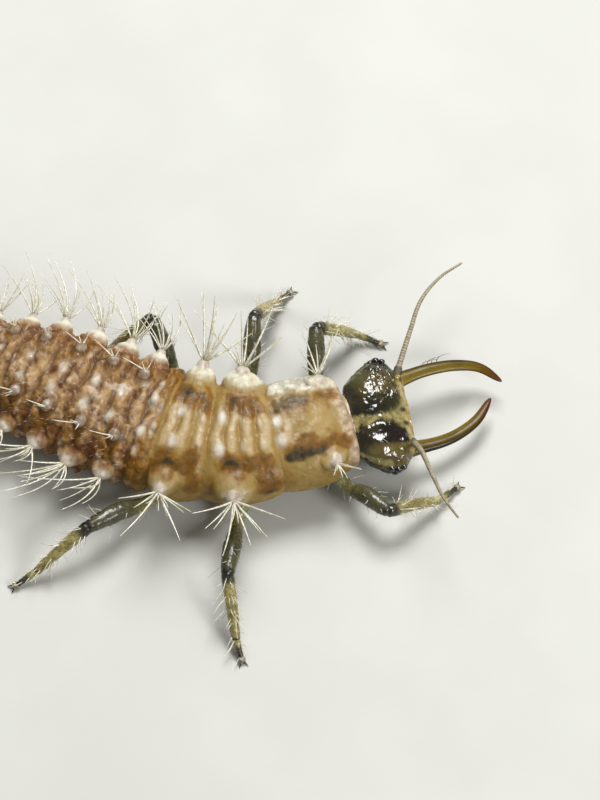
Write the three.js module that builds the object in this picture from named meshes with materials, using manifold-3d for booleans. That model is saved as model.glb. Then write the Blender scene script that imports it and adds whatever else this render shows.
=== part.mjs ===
// Larva of a green lacewing, life size, as a still museum model.
// Millimetres, +Z up. The animal walks towards +X, its left side is +Y and the floor is z = 0.

import * as THREE from 'three';
import { mergeVertices } from 'three/addons/utils/BufferGeometryUtils.js';
import Module from 'manifold-3d';

const wasm = await Module();
wasm.setup();
const { Manifold, Mesh: SolidMesh } = wasm;

// Driving dimensions of the whole animal
const JOINT_GAP = 0.022;
const FINEST_EDGE = 0.0015;
const BODY_SIDES = 20;
const LIMB_SIDES = 8;
const FOLD_DEPTH = 0.075;
const BODY_FULLNESS = 0.88;
const STANDING_POINT = new THREE.Vector3(0.558, 0.048, 0);
// How far the back leans to the right at the collar. It stands upright again at the tail.
const BODY_ROLL = THREE.MathUtils.degToRad(5);

// The line through the middle of the body, from the collar behind the head to the tip of the tail.
const BODY_LINE = new THREE.CatmullRomCurve3(
  [
    [1.02, 0.238, 0.478],
    [0.55, 0.08, 0.505],
    [0, -0.035, 0.52],
    [-0.6, 0.035, 0.515],
    [-1.3, 0.31, 0.5],
    [-2.0, 0.67, 0.46],
    [-2.75, 1.06, 0.325],
    [-3.3, 1.3, 0.175],
    [-3.62, 1.41, 0.095],
  ].map((place) => new THREE.Vector3(...place)),
  false,
  'centripetal',
);

// The rings of the body from front to back: width is across, rise and drop are above and below the line.
const SEGMENTS = [
  { name: 'prothorax', length: 0.787, width: 1.13, rise: 0.31, drop: 0.26 },
  { name: 'mesothorax', length: 0.623, width: 1.25, rise: 0.36, drop: 0.31 },
  { name: 'metathorax', length: 0.465, width: 1.31, rise: 0.38, drop: 0.33 },
  { name: 'abdomen_1', length: 0.185, width: 1.3, rise: 0.39, drop: 0.35 },
  { name: 'abdomen_2', length: 0.36, width: 1.3, rise: 0.4, drop: 0.37 },
  { name: 'abdomen_3', length: 0.345, width: 1.29, rise: 0.41, drop: 0.38 },
  { name: 'abdomen_4', length: 0.385, width: 1.24, rise: 0.4, drop: 0.38 },
  { name: 'abdomen_5', length: 0.34, width: 1.15, rise: 0.37, drop: 0.36 },
  { name: 'abdomen_6', length: 0.33, width: 1.02, rise: 0.33, drop: 0.32 },
  { name: 'abdomen_7', length: 0.33, width: 0.86, rise: 0.28, drop: 0.26 },
  { name: 'abdomen_8', length: 0.31, width: 0.68, rise: 0.23, drop: 0.2 },
  { name: 'abdomen_9', length: 0.28, width: 0.5, rise: 0.175, drop: 0.15 },
  { name: 'abdomen_10', length: 0.29, width: 0.33, rise: 0.13, drop: 0.14 },
];
const COLLAR = { width: 0.98, rise: 0.25, drop: 0.2 };
const TAIL_TIP = { width: 0.2, rise: 0.09, drop: 0.13 };

// The wart on each side of a ring: its half sizes (along, up, out), the degrees that it looks up by, how many
// bristles it carries, and how far in front of the ring's middle the left and the right one sit.
const SIDE_WARTS = {
  prothorax: { sizes: [0.14, 0.1, 0.11], tilt: 26, bristles: 5, ahead: [0.24, 0.1] },
  mesothorax: { sizes: [0.2, 0.18, 0.24], tilt: 18, bristles: 8, ahead: [0.04, -0.06] },
  metathorax: { sizes: [0.15, 0.15, 0.22], tilt: 18, bristles: 8, ahead: [0, -0.08] },
  abdomen_2: { sizes: [0.12, 0.11, 0.17], tilt: 10, bristles: 6 },
  abdomen_3: { sizes: [0.12, 0.11, 0.17], tilt: 10, bristles: 7 },
  abdomen_4: { sizes: [0.12, 0.11, 0.17], tilt: 10, bristles: 7 },
  abdomen_5: { sizes: [0.11, 0.11, 0.17], tilt: 10, bristles: 7 },
  abdomen_6: { sizes: [0.11, 0.1, 0.15], tilt: 10, bristles: 7 },
  abdomen_7: { sizes: [0.1, 0.09, 0.13], tilt: 10, bristles: 6 },
  abdomen_8: { sizes: [0.07, 0.06, 0.08], tilt: 10, bristles: 4 },
};

// The head capsule in its own frame: how far along, then half width, rise and drop.
const HEAD_JOINT = new THREE.Vector3(1.07, 0.24, 0.47);
const HEAD_TURN = THREE.MathUtils.degToRad(13);
const HEAD_NOD = THREE.MathUtils.degToRad(8);
const HEAD_ROLL = THREE.MathUtils.degToRad(10);
const HEAD_FULLNESS = 0.82;
const HEAD_STATIONS = [
  [0.03, 0.41, 0.15, 0.14],
  [0.087, 0.467, 0.185, 0.158],
  [0.16, 0.525, 0.205, 0.17],
  [0.24, 0.568, 0.214, 0.178],
  [0.34, 0.578, 0.208, 0.178],
  [0.42, 0.55, 0.19, 0.168],
  [0.48, 0.505, 0.165, 0.15],
  [0.54, 0.45, 0.13, 0.12],
  [0.59, 0.38, 0.08, 0.08],
];

// Jaws, antennae and palps: places are along, to the left and above the head's line.
const JAW_WIDTH = 0.15;
const JAW_LINES = {
  left: [[0.5, 0.355, 0], [0.865, 0.432, 0], [1.18, 0.442, -0.01], [1.41, 0.387, -0.02], [1.61, 0.215, -0.03]],
  right: [[0.5, -0.37, 0], [0.847, -0.335, 0], [1.05, -0.275, -0.01], [1.27, -0.15, -0.02], [1.46, 0.06, -0.03]],
};
const PALP_LINES = {
  left: [[0.5, 0.14, -0.06], [0.66, 0.18, -0.15], [0.7, 0.2, -0.27]],
  right: [[0.5, -0.14, -0.06], [0.66, -0.18, -0.15], [0.7, -0.2, -0.27]],
};
// The antennae are placed from the floor, as they spread wide of the head.
const ANTENNA_LINES = {
  left: [[1.51, 0.74, 0.51], [1.65, 1.18, 0.62], [1.76, 1.5, 0.68], [1.95, 1.78, 0.65], [2.18, 1.99, 0.58]],
  right: [[1.67, 0.06, 0.4], [1.76, -0.16, 0.6], [1.87, -0.53, 0.78], [1.98, -0.85, 0.9], [2.12, -1.12, 1]],
};
const EYE_PLACE = { along: 0.34, out: 0.55, up: 0.03 };
const EYE_MOUND = [0.12, 0.06, 0.06];
const EYE_BEAD = 0.036;

// Legs: the coxa runs from inside the thorax to the hip below it, and the toe is on the floor.
const LEGS = {
  front_right: {
    root: [0.78, -0.02, 0.4],
    hip: [0.93, -0.27, 0.24],
    knee: [1.49, -0.768, 0.4],
    ankle: [1.93, -0.467, 0.12],
    toe: [2.12, -0.28, 0],
  },
  front_left: {
    root: [0.68, 0.3, 0.4],
    hip: [0.71, 0.62, 0.26],
    knee: [0.71, 1.26, 0.55],
    ankle: [1.12, 1.42, 0.12],
    toe: [1.36, 1.36, 0],
  },
  middle_right: {
    root: [0.01, -0.25, 0.4],
    hip: [-0.05, -0.62, 0.24],
    knee: [-0.17, -1.446, 0.43],
    ankle: [-0.085, -2.018, 0.12],
    toe: [-0.03, -2.2, 0],
  },
  middle_left: {
    root: [0.0, 0.25, 0.4],
    hip: [0.03, 0.62, 0.26],
    knee: [0.09, 1.368, 0.58],
    ankle: [0.31, 1.782, 0.12],
    toe: [0.45, 1.94, 0],
  },
  hind_right: {
    root: [-0.56, -0.2, 0.4],
    hip: [-0.82, -0.45, 0.26],
    knee: [-1.56, -0.925, 0.43],
    ankle: [-2.07, -1.259, 0.12],
    toe: [-2.28, -1.375, 0],
  },
  hind_left: {
    root: [-0.5, 0.28, 0.4],
    hip: [-0.63, 0.66, 0.26],
    knee: [-0.93, 1.352, 0.58],
    ankle: [-1.36, 1.24, 0.12],
    toe: [-1.6, 1.21, 0],
  },
};
const COXA_RADII = [0.17, 0.09];
const PAD_RADIUS = 0.052;
const PAD_HEIGHT = 0.07;
const CLAW_ROOT = 0.013;

// Warts: how deep the side ones are sunk, and what those on the back are like.
const WART_SINK = 0.2;
const BACK_WART_TILT = 46;
const BACK_WART_HALF_WIDTH = 0.055;
const BACK_WART_SHARE = 0.04;
const BACK_WART_SLENDER = 0.7;
const BACK_WART_SINK = 0.03;
const FIRST_BACK_WART = 4;
const BACK_WART_SIDES = 6;
const BACK_BRISTLES = 2;

// Bristles: lengths, half thickness at the root, how deep the root is sunk, and the room round them.
const SIDE_BRISTLE = [0.36, 0.7];
const BACK_BRISTLE = [0.14, 0.22];
const BRISTLE_ROOT = 0.011;
const BRISTLE_SINK = 0.035;
const BRISTLE_CLEARANCE = 0.02;
const FAN_SPREAD = 62;
const FAN_LIFTS = [-6, 34];

const UP = new THREE.Vector3(0, 0, 1);

// A seeded draw, so that the bristles vary and yet come out the same each time.
function makeDraw(seed) {
  let state = seed;
  return (low, high) => {
    state = (state * 1664525 + 1013904223) % 4294967296;
    return low + (high - low) * (state / 4294967296);
  };
}

// Solids from rings of points

function signedVolume(points, faces) {
  let total = 0;
  for (let i = 0; i < faces.length; i += 3) {
    const [a, b, c] = [points[faces[i]], points[faces[i + 1]], points[faces[i + 2]]];
    total += a.dot(b.clone().cross(c)) / 6;
  }
  return total;
}

// A closed skin over rings of points. A ring of one point makes a tip.
function loft(rings) {
  const points = rings.flat();
  const starts = [];
  let count = 0;
  for (const ring of rings) {
    starts.push(count);
    count += ring.length;
  }
  const faces = [];
  for (let r = 0; r + 1 < rings.length; r += 1) {
    const sides = Math.max(rings[r].length, rings[r + 1].length);
    for (let i = 0; i < sides; i += 1) {
      const j = (i + 1) % sides;
      const here = (k) => starts[r] + (rings[r].length === 1 ? 0 : k);
      const next = (k) => starts[r + 1] + (rings[r + 1].length === 1 ? 0 : k);
      if (rings[r].length > 1) faces.push(here(i), here(j), next(i));
      if (rings[r + 1].length > 1) faces.push(here(j), next(j), next(i));
    }
  }
  const closeEnd = (ring, start, turned) => {
    if (ring.length === 1) return;
    let hub = start;
    if (ring.length > 3) {
      hub = points.length;
      points.push(ring.reduce((sum, p) => sum.add(p), new THREE.Vector3()).divideScalar(ring.length));
    }
    for (let i = 0; i < ring.length; i += 1) {
      const pair = [start + i, start + ((i + 1) % ring.length)];
      if (pair.includes(hub)) continue;
      faces.push(hub, ...(turned ? pair.reverse() : pair));
    }
  };
  closeEnd(rings[0], starts[0], true);
  closeEnd(rings[rings.length - 1], starts[rings.length - 1], false);
  if (signedVolume(points, faces) < 0) faces.reverse();
  const geometry = new THREE.BufferGeometry().setFromPoints(points);
  geometry.setIndex(faces);
  return geometry;
}

function toSolid(geometry) {
  const bare = geometry.clone();
  bare.deleteAttribute('normal');
  bare.deleteAttribute('uv');
  const merged = mergeVertices(bare, 1e-5);
  return new Manifold(new SolidMesh({
    numProp: 3,
    vertProperties: Float32Array.from(merged.attributes.position.array),
    triVerts: Uint32Array.from(merged.index.array),
  }));
}

function toGeometry(solid) {
  const { vertProperties, triVerts } = solid.getMesh();
  const geometry = new THREE.BufferGeometry();
  geometry.setAttribute('position', new THREE.BufferAttribute(Float32Array.from(vertProperties), 3));
  geometry.setIndex(Array.from(triVerts));
  geometry.computeVertexNormals();
  return geometry;
}

// Joins pieces, cuts away what stands in the way, and keeps the largest closed body.
function join(pieces, obstacles = []) {
  let solid = Manifold.union(pieces.map(toSolid));
  for (const obstacle of obstacles) solid = solid.subtract(toSolid(obstacle));
  const bodies = solid.simplify(FINEST_EDGE).decompose();
  return toGeometry(bodies.reduce((best, body) => (body.volume() > best.volume() ? body : best)));
}

// A ring of points in the plane of two axes, slightly squarer than an ellipse.
function squaredRing(middle, across, upward, halfWidth, rise, drop, sides, fullness) {
  const shape = (x) => Math.sign(x) * Math.abs(x) ** fullness;
  return Array.from({ length: sides }, (_, i) => {
    const angle = ((i + 0.5) / sides) * 2 * Math.PI;
    const height = Math.sin(angle) > 0 ? rise : drop;
    return middle.clone()
      .addScaledVector(across, halfWidth * shape(Math.cos(angle)))
      .addScaledVector(upward, height * shape(Math.sin(angle)));
  });
}

// A limb round a line, its thickness given by a function of how far along it is.
// grow makes it thicker and longer all round, which is how a neighbour is cut clear of it.
function limb(line, radiusAt, options = {}) {
  const { sides = LIMB_SIDES, steps = 8, flatten = 1, grow = 0, pointed = false } = options;
  const rings = [];
  for (let i = 0; i <= steps; i += 1) {
    const t = i / steps;
    const along = line.getTangentAt(t);
    const across = UP.clone().cross(along).normalize();
    const upward = along.clone().cross(across);
    const ends = (i === steps ? 1 : 0) - (i === 0 ? 1 : 0);
    const middle = line.getPointAt(t).addScaledVector(along, grow * ends);
    if (pointed && i === steps) {
      rings.push([middle]);
      continue;
    }
    const half = radiusAt(t) + grow;
    rings.push(squaredRing(middle, across, upward, half, half * flatten, half * flatten, sides, 1));
  }
  return loft(rings);
}

function curveThrough(places, toWorld = (place) => new THREE.Vector3(...place)) {
  return new THREE.CatmullRomCurve3(places.map(toWorld), false, 'centripetal');
}

// Values between stations, eased from one to the next.
function easedTable(stations, values, at) {
  let i = 0;
  while (i < stations.length - 2 && at > stations[i + 1]) i += 1;
  const span = stations[i + 1] - stations[i];
  const t = THREE.MathUtils.clamp((at - stations[i]) / span, 0, 1);
  const slope = (k) => {
    if (k === 0 || k === stations.length - 1) return 0;
    return (values[k + 1] - values[k - 1]) / (stations[k + 1] - stations[k - 1]);
  };
  const rise = values[i + 1] - values[i];
  const [m0, m1] = [slope(i) * span, slope(i + 1) * span];
  return values[i] + t * (m0 + t * (3 * rise - 2 * m0 - m1 + t * (m0 + m1 - 2 * rise)));
}

// The body

const totalLength = SEGMENTS.reduce((sum, segment) => sum + segment.length, 0);
const lineLength = BODY_LINE.getLength();
let reached = 0;
for (const segment of SEGMENTS) {
  segment.front = (reached / totalLength) * lineLength;
  reached += segment.length;
  segment.back = (reached / totalLength) * lineLength;
  segment.middle = (segment.front + segment.back) / 2;
}
const STATIONS = [0, ...SEGMENTS.map((segment) => segment.middle), lineLength];
const SHAPES = [COLLAR, ...SEGMENTS, TAIL_TIP];

function bodyFrame(s) {
  const t = THREE.MathUtils.clamp(s / lineLength, 0, 1);
  const forward = BODY_LINE.getTangentAt(t).negate();
  const left = UP.clone().cross(forward).normalize().applyAxisAngle(forward, BODY_ROLL * (1 - t));
  const up = forward.clone().cross(left);
  const past = s < 0 ? -s : Math.min(0, lineLength - s);
  const middle = BODY_LINE.getPointAt(t).addScaledVector(forward, past);
  return { middle, forward, left, up };
}

function bodySize(s, key) {
  return easedTable(STATIONS, SHAPES.map((shape) => shape[key]), s);
}

// How much a segment narrows towards its two ends.
function foldAt(segment, s) {
  const t = THREE.MathUtils.clamp((s - segment.front) / (segment.back - segment.front), 0, 1);
  return 1 - FOLD_DEPTH * (1 - Math.sqrt(Math.sin(Math.PI * t)));
}

function bodyRing(segment, s, grow = 0) {
  const { middle, left, up } = bodyFrame(s);
  const fold = foldAt(segment, s);
  const [halfWidth, rise, drop] = [bodySize(s, 'width') / 2, bodySize(s, 'rise'), bodySize(s, 'drop')]
    .map((size) => size * fold + grow);
  const ring = squaredRing(middle, left, up, halfWidth, rise, drop, BODY_SIDES, BODY_FULLNESS);
  if (grow === 0) for (const point of ring) point.z = Math.max(point.z, 0);
  return ring;
}

function segmentSkin(segment, grow = 0) {
  const inset = grow > 0 ? -grow : JOINT_GAP / 2;
  const [from, to] = [segment.front + inset, segment.back - inset];
  const places = [0, 0.12, 0.35, 0.65, 0.88, 1];
  return loft(places.map((t) => bodyRing(segment, from + t * (to - from), grow)));
}

// A wart: a dome with its foot sunk into the body.
function dome(place, axes, sizes, { sides = LIMB_SIDES, grow = 0 } = {}) {
  const [along, upward, out] = sizes.map((size) => size + grow);
  const rings = [-0.45, 0.3, 0.8].map((height) => {
    const shrink = Math.sqrt(1 - height * height);
    const middle = place.clone().addScaledVector(axes.out, out * height);
    const [half, rise] = [along * shrink, upward * shrink];
    return squaredRing(middle, axes.along, axes.up, half, rise, rise, sides, 1);
  });
  rings.push([place.clone().addScaledVector(axes.out, out)]);
  return loft(rings);
}

// Axes of a wart that looks out of the body at an angle above its side.
function wartAxes(frame, side, tiltDegrees) {
  const tilt = THREE.MathUtils.degToRad(tiltDegrees);
  const out = frame.left.clone()
    .multiplyScalar(side * Math.cos(tilt))
    .addScaledVector(frame.up, Math.sin(tilt));
  return { out, along: frame.forward, up: frame.forward.clone().cross(out).multiplyScalar(side) };
}

// How far the skin lies from the body's line, at an angle above the side.
function skinReach(s, tiltDegrees) {
  const tilt = THREE.MathUtils.degToRad(tiltDegrees);
  return Math.hypot((bodySize(s, 'width') / 2) * Math.cos(tilt), bodySize(s, 'rise') * Math.sin(tilt));
}

function sideWart(segment, side) {
  const { sizes, tilt, ahead = [0, 0] } = SIDE_WARTS[segment.name];
  const s = segment.middle - ahead[side > 0 ? 0 : 1];
  const frame = bodyFrame(s);
  const axes = wartAxes(frame, side, tilt);
  const place = frame.middle.clone().addScaledVector(axes.out, skinReach(s, tilt) - sizes[2] * WART_SINK);
  return { place, axes, sizes };
}

function backWart(segment, side) {
  const frame = bodyFrame(segment.middle);
  const axes = wartAxes(frame, side, BACK_WART_TILT);
  const across = BACK_WART_HALF_WIDTH + BACK_WART_SHARE * bodySize(segment.middle, 'width');
  const length = across * BACK_WART_SLENDER;
  const reach = skinReach(segment.middle, BACK_WART_TILT) * (1 - BACK_WART_SINK);
  const place = frame.middle.clone().addScaledVector(axes.out, reach);
  return { place, axes, sizes: [length, across, length] };
}

// A tapered bristle of three sides: a root, an aim, a length and a bend to one side.
function bristlePlace({ root, aim, length, bend }, t) {
  return root.clone()
    .addScaledVector(aim, t * (length + BRISTLE_SINK) - BRISTLE_SINK)
    .addScaledVector(bend, t * t * length);
}

function bristleSkin(bristle, thickness = BRISTLE_ROOT) {
  const across = new THREE.Vector3(1, 0, 0).cross(bristle.aim).normalize();
  const upward = bristle.aim.clone().cross(across);
  const ring = (t, share) => {
    const radius = thickness * share;
    return squaredRing(bristlePlace(bristle, t), across, upward, radius, radius, radius, 3, 1);
  };
  return loft([ring(0, 1), ring(0.38, 0.85), ring(0.72, 0.55), [bristlePlace(bristle, 1)]]);
}

// What a bristle keeps clear of: balls strung along the legs, the warts and the bristles of other nodes.
const crowd = [];

function ballsAlong(owner, placeAt, radiusAt, count) {
  return Array.from({ length: count }, (_, i) => {
    const t = (i + 0.5) / count;
    return { owner, place: placeAt(t), radius: radiusAt(t) };
  });
}

function isClear(balls) {
  return balls.every((ball) => crowd.every((other) => (
    other.owner === ball.owner
    || other.place.distanceTo(ball.place) > other.radius + ball.radius + BRISTLE_CLEARANCE
  )));
}

// A fan of bristles on a wart. One that would cross another node is drawn again.
function bristleFan(owner, { place, axes, sizes }, count, [shortest, longest], draw) {
  const fan = [];
  for (let i = 0; i < count; i += 1) {
    for (let attempt = 0; attempt < 40; attempt += 1) {
      const play = 5 + attempt / 2;
      const fanned = THREE.MathUtils.lerp(-FAN_SPREAD, FAN_SPREAD, (i + 0.5) / count);
      const spread = THREE.MathUtils.degToRad(fanned + draw(-play, play));
      const lift = THREE.MathUtils.degToRad(FAN_LIFTS[i % 2] + draw(-play, play));
      const aim = new THREE.Vector3()
        .addScaledVector(axes.along, Math.sin(spread))
        .addScaledVector(axes.up, Math.cos(spread) * Math.sin(lift))
        .addScaledVector(axes.out, Math.cos(spread) * Math.cos(lift));
      const root = place.clone()
        .addScaledVector(axes.along, sizes[0] * aim.dot(axes.along))
        .addScaledVector(axes.up, sizes[1] * aim.dot(axes.up))
        .addScaledVector(axes.out, sizes[2] * aim.dot(axes.out));
      const bend = axes.along.clone().multiplyScalar(-draw(0.05, 0.3)).addScaledVector(UP, draw(0, 0.15));
      const bristle = { root, aim, length: draw(shortest, longest), bend };
      const balls = ballsAlong(owner, (t) => bristlePlace(bristle, t), () => BRISTLE_ROOT, 18);
      if (!isClear(balls)) continue;
      crowd.push(...balls);
      fan.push(bristleSkin(bristle));
      break;
    }
  }
  return fan;
}

function buildSegment(segment, index) {
  const draw = makeDraw(101 + 17 * index);
  const pieces = [segmentSkin(segment)];
  const warts = SIDE_WARTS[segment.name];
  if (!warts) return join(pieces);
  for (const side of [1, -1]) {
    const wart = sideWart(segment, side);
    pieces.push(dome(wart.place, wart.axes, wart.sizes));
    pieces.push(...bristleFan(segment.name, wart, warts.bristles, SIDE_BRISTLE, draw));
    if (index < FIRST_BACK_WART) continue;
    const low = backWart(segment, side);
    pieces.push(dome(low.place, low.axes, low.sizes, { sides: BACK_WART_SIDES }));
    pieces.push(...bristleFan(segment.name, low, BACK_BRISTLES, BACK_BRISTLE, draw));
  }
  return join(pieces);
}

// The head

const headForward = new THREE.Vector3(
  Math.cos(HEAD_NOD) * Math.cos(HEAD_TURN),
  Math.cos(HEAD_NOD) * Math.sin(HEAD_TURN),
  -Math.sin(HEAD_NOD),
);
const headLeft = UP.clone().cross(headForward).normalize().applyAxisAngle(headForward, HEAD_ROLL);
const headUp = headForward.clone().cross(headLeft);

function headPlace([along, left, up]) {
  return HEAD_JOINT.clone()
    .addScaledVector(headForward, along)
    .addScaledVector(headLeft, left)
    .addScaledVector(headUp, up);
}

function headSkin(grow = 0) {
  const last = HEAD_STATIONS.length - 1;
  return loft(HEAD_STATIONS.map(([along, ...sizes], i) => {
    const ends = (i === last ? 1 : 0) - (i === 0 ? 1 : 0);
    const middle = headPlace([along + grow * ends, 0, 0]);
    const [halfWidth, rise, drop] = sizes.map((size) => size + grow);
    return squaredRing(middle, headLeft, headUp, halfWidth, rise, drop, BODY_SIDES, HEAD_FULLNESS);
  }));
}

function buildNeck() {
  const front = headPlace([HEAD_STATIONS[0][0] - JOINT_GAP, 0, 0]);
  const { middle, left, up } = bodyFrame(-JOINT_GAP / 2);
  return join([loft([
    squaredRing(front, headLeft, headUp, 0.27, 0.12, 0.11, LIMB_SIDES * 2, 0.85),
    squaredRing(middle, left, up, 0.34, 0.17, 0.15, LIMB_SIDES * 2, 0.85),
  ])], [headSkin(JOINT_GAP), segmentSkin(SEGMENTS[0], JOINT_GAP / 2)]);
}

function buildJaw(side) {
  const line = curveThrough(JAW_LINES[side], headPlace);
  const flare = (t) => 1 + 0.3 * Math.max(0, 1 - t / 0.25) ** 2;
  const width = (t) => (JAW_WIDTH / 2) * flare(t) * (1 - 0.32 * t) * Math.sqrt(Math.max(0, 1 - t ** 7));
  return join([limb(line, width, { steps: 12, flatten: 0.6, pointed: true })], [headSkin(JOINT_GAP)]);
}

function buildAntenna(side) {
  const line = curveThrough(ANTENNA_LINES[side]);
  const width = (t) => (t < 0.06 ? 0.036 : 0.024 - 0.016 * t);
  return join([limb(line, width, { sides: 6, steps: 16, pointed: true })], [headSkin(JOINT_GAP)]);
}

function buildPalp(side) {
  const line = curveThrough(PALP_LINES[side], headPlace);
  return join([limb(line, (t) => 0.034 - 0.018 * t, { sides: 6, steps: 6 })], [headSkin(JOINT_GAP)]);
}

// Six small bead-like eyes in a group on a low mound at each side of the head.
function buildEyes(side) {
  const sign = side === 'left' ? 1 : -1;
  const { along, out, up } = EYE_PLACE;
  const axes = { along: headForward, up: headUp, out: headLeft.clone().multiplyScalar(sign) };
  const pieces = [dome(headPlace([along, sign * out, up]), axes, EYE_MOUND)];
  for (const row of [-1, 1]) {
    for (const column of [-1, 0, 1]) {
      const bead = new THREE.SphereGeometry(EYE_BEAD, 6, 4);
      const rowShift = 0.012 * row;
      const place = headPlace([
        along + column * 0.068 + rowShift,
        sign * (out + EYE_MOUND[2] * 0.72 - 0.016 * Math.abs(column)),
        up + row * 0.034,
      ]);
      pieces.push(bead.translate(...place));
    }
  }
  return join(pieces, [headSkin(JOINT_GAP)]);
}

// The legs

function coxaLine({ root, hip }) {
  return curveThrough([root, hip]);
}

function femurLine({ root, hip, knee }) {
  const [from, to] = [new THREE.Vector3(...hip), new THREE.Vector3(...knee)];
  const inward = new THREE.Vector3(...root).sub(from).normalize();
  const start = from.clone().addScaledVector(inward, JOINT_GAP * 2);
  const bend = from.clone().lerp(to, 0.22).add(new THREE.Vector3(0, 0, -0.05));
  const middle = from.clone().lerp(to, 0.6).add(new THREE.Vector3(0, 0, 0.025));
  return new THREE.CatmullRomCurve3([start, bend, middle, to], false, 'centripetal');
}

function femurRadius(t) {
  return easedTable([0, 0.1, 0.22, 0.6, 0.85, 1], [0.062, 0.075, 0.062, 0.092, 0.08, 0.066], t);
}

function tibiaLine({ knee, ankle }) {
  const [from, to] = [new THREE.Vector3(...knee), new THREE.Vector3(...ankle)];
  const middle = from.clone().lerp(to, 0.5).add(new THREE.Vector3(0, 0, 0.025));
  return new THREE.CatmullRomCurve3([from, middle, to], false, 'centripetal');
}

function tibiaRadius(t) {
  return easedTable([0, 0.16, 0.5, 0.85, 1], [0.062, 0.066, 0.05, 0.048, 0.044], t);
}

function tarsusLine({ ankle, toe }) {
  const [from, to] = [new THREE.Vector3(...ankle), new THREE.Vector3(...toe)];
  to.z = PAD_HEIGHT * 0.6;
  return new THREE.CatmullRomCurve3([from, from.clone().lerp(to, 0.5), to], false, 'centripetal');
}

function buildPad(toe) {
  const profile = [[0, 0], [0.82, 0], [1, 0.3], [0.8, 0.75], [0, 1]];
  const pad = new THREE.LatheGeometry(
    profile.map(([r, h]) => new THREE.Vector2(r * PAD_RADIUS, h * PAD_HEIGHT)),
    10,
  );
  return pad.rotateX(Math.PI / 2).translate(toe[0], toe[1], 0);
}

function buildClaws({ ankle, toe }) {
  const ahead = new THREE.Vector3(toe[0] - ankle[0], toe[1] - ankle[1], 0).normalize();
  const beside = UP.clone().cross(ahead);
  return [1, -1].map((side) => {
    const aim = ahead.clone().addScaledVector(beside, 0.55 * side).normalize();
    const root = new THREE.Vector3(toe[0], toe[1], PAD_HEIGHT * 0.62).addScaledVector(aim, PAD_RADIUS * 0.8);
    return bristleSkin({ root, aim, length: 0.06, bend: new THREE.Vector3(0, 0, -0.45) }, CLAW_ROOT);
  });
}

function buildLeg(name, leg, thorax) {
  const coxaRadius = (t) => THREE.MathUtils.lerp(...COXA_RADII, t);
  const coxa = (grow) => limb(coxaLine(leg), coxaRadius, { steps: 3, grow });
  const femur = (grow) => limb(femurLine(leg), femurRadius, { steps: 8, grow });
  const tibia = (grow) => limb(tibiaLine(leg), tibiaRadius, { steps: 5, grow });
  const tarsus = limb(tarsusLine(leg), (t) => 0.038 - 0.006 * t, { steps: 3, sides: 6 });
  return {
    [`leg_${name}_coxa`]: join([coxa(0)], thorax),
    [`leg_${name}_femur`]: join([femur(0)], [coxa(JOINT_GAP), ...thorax]),
    [`leg_${name}_tibia`]: join([tibia(0)], [femur(JOINT_GAP)]),
    [`leg_${name}_tarsus`]: join([tarsus, buildPad(leg.toe), ...buildClaws(leg)], [tibia(JOINT_GAP)]),
  };
}

// The whole animal

const finish = (color, roughness) => new THREE.MeshStandardMaterial({ color, roughness, metalness: 0 });
const CREAM_SKIN = finish(0xcdb894, 0.6);
const BROWN_SKIN = finish(0xa9784f, 0.6);
const BLACK_SHELL = finish(0x2a2418, 0.2);
const AMBER_HORN = finish(0x6d5a1c, 0.25);
const LEG_SKIN = finish(0x6f6a42, 0.4);

const larva = new THREE.Group();
larva.position.copy(STANDING_POINT);

function place(name, geometry, material) {
  const mesh = new THREE.Mesh(geometry, material);
  mesh.name = name;
  larva.add(mesh);
}

for (const leg of Object.values(LEGS)) {
  const [femur, tibia] = [femurLine(leg), tibiaLine(leg)];
  crowd.push(...ballsAlong('leg', (t) => femur.getPointAt(t), femurRadius, 24));
  crowd.push(...ballsAlong('leg', (t) => tibia.getPointAt(t), tibiaRadius, 16));
}
const warted = SEGMENTS.filter((segment) => SIDE_WARTS[segment.name]);
for (const segment of warted) {
  for (const side of [1, -1]) {
    const wart = sideWart(segment, side);
    crowd.push({ owner: segment.name, place: wart.place, radius: Math.max(...wart.sizes) });
  }
}

SEGMENTS.forEach((segment, index) => {
  place(segment.name, buildSegment(segment, index), index < 3 ? CREAM_SKIN : BROWN_SKIN);
});
place('neck', buildNeck(), CREAM_SKIN);
place('head', join([headSkin()]), BLACK_SHELL);
for (const side of ['left', 'right']) {
  place(`jaw_${side}`, buildJaw(side), AMBER_HORN);
  place(`antenna_${side}`, buildAntenna(side), LEG_SKIN);
  place(`palp_${side}`, buildPalp(side), LEG_SKIN);
  place(`eyes_${side}`, buildEyes(side), BLACK_SHELL);
}
const trunk = SEGMENTS.slice(0, 5).map((segment) => segmentSkin(segment, JOINT_GAP));
for (const segment of warted.slice(0, 4)) {
  for (const side of [1, -1]) {
    const wart = sideWart(segment, side);
    trunk.push(dome(wart.place, wart.axes, wart.sizes, { grow: JOINT_GAP }));
  }
}
for (const [name, leg] of Object.entries(LEGS)) {
  for (const [node, geometry] of Object.entries(buildLeg(name, leg, trunk))) {
    place(node, geometry, LEG_SKIN);
  }
}

export default larva;
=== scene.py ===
import math

import bpy
import numpy as np
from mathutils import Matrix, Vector, noise


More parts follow.
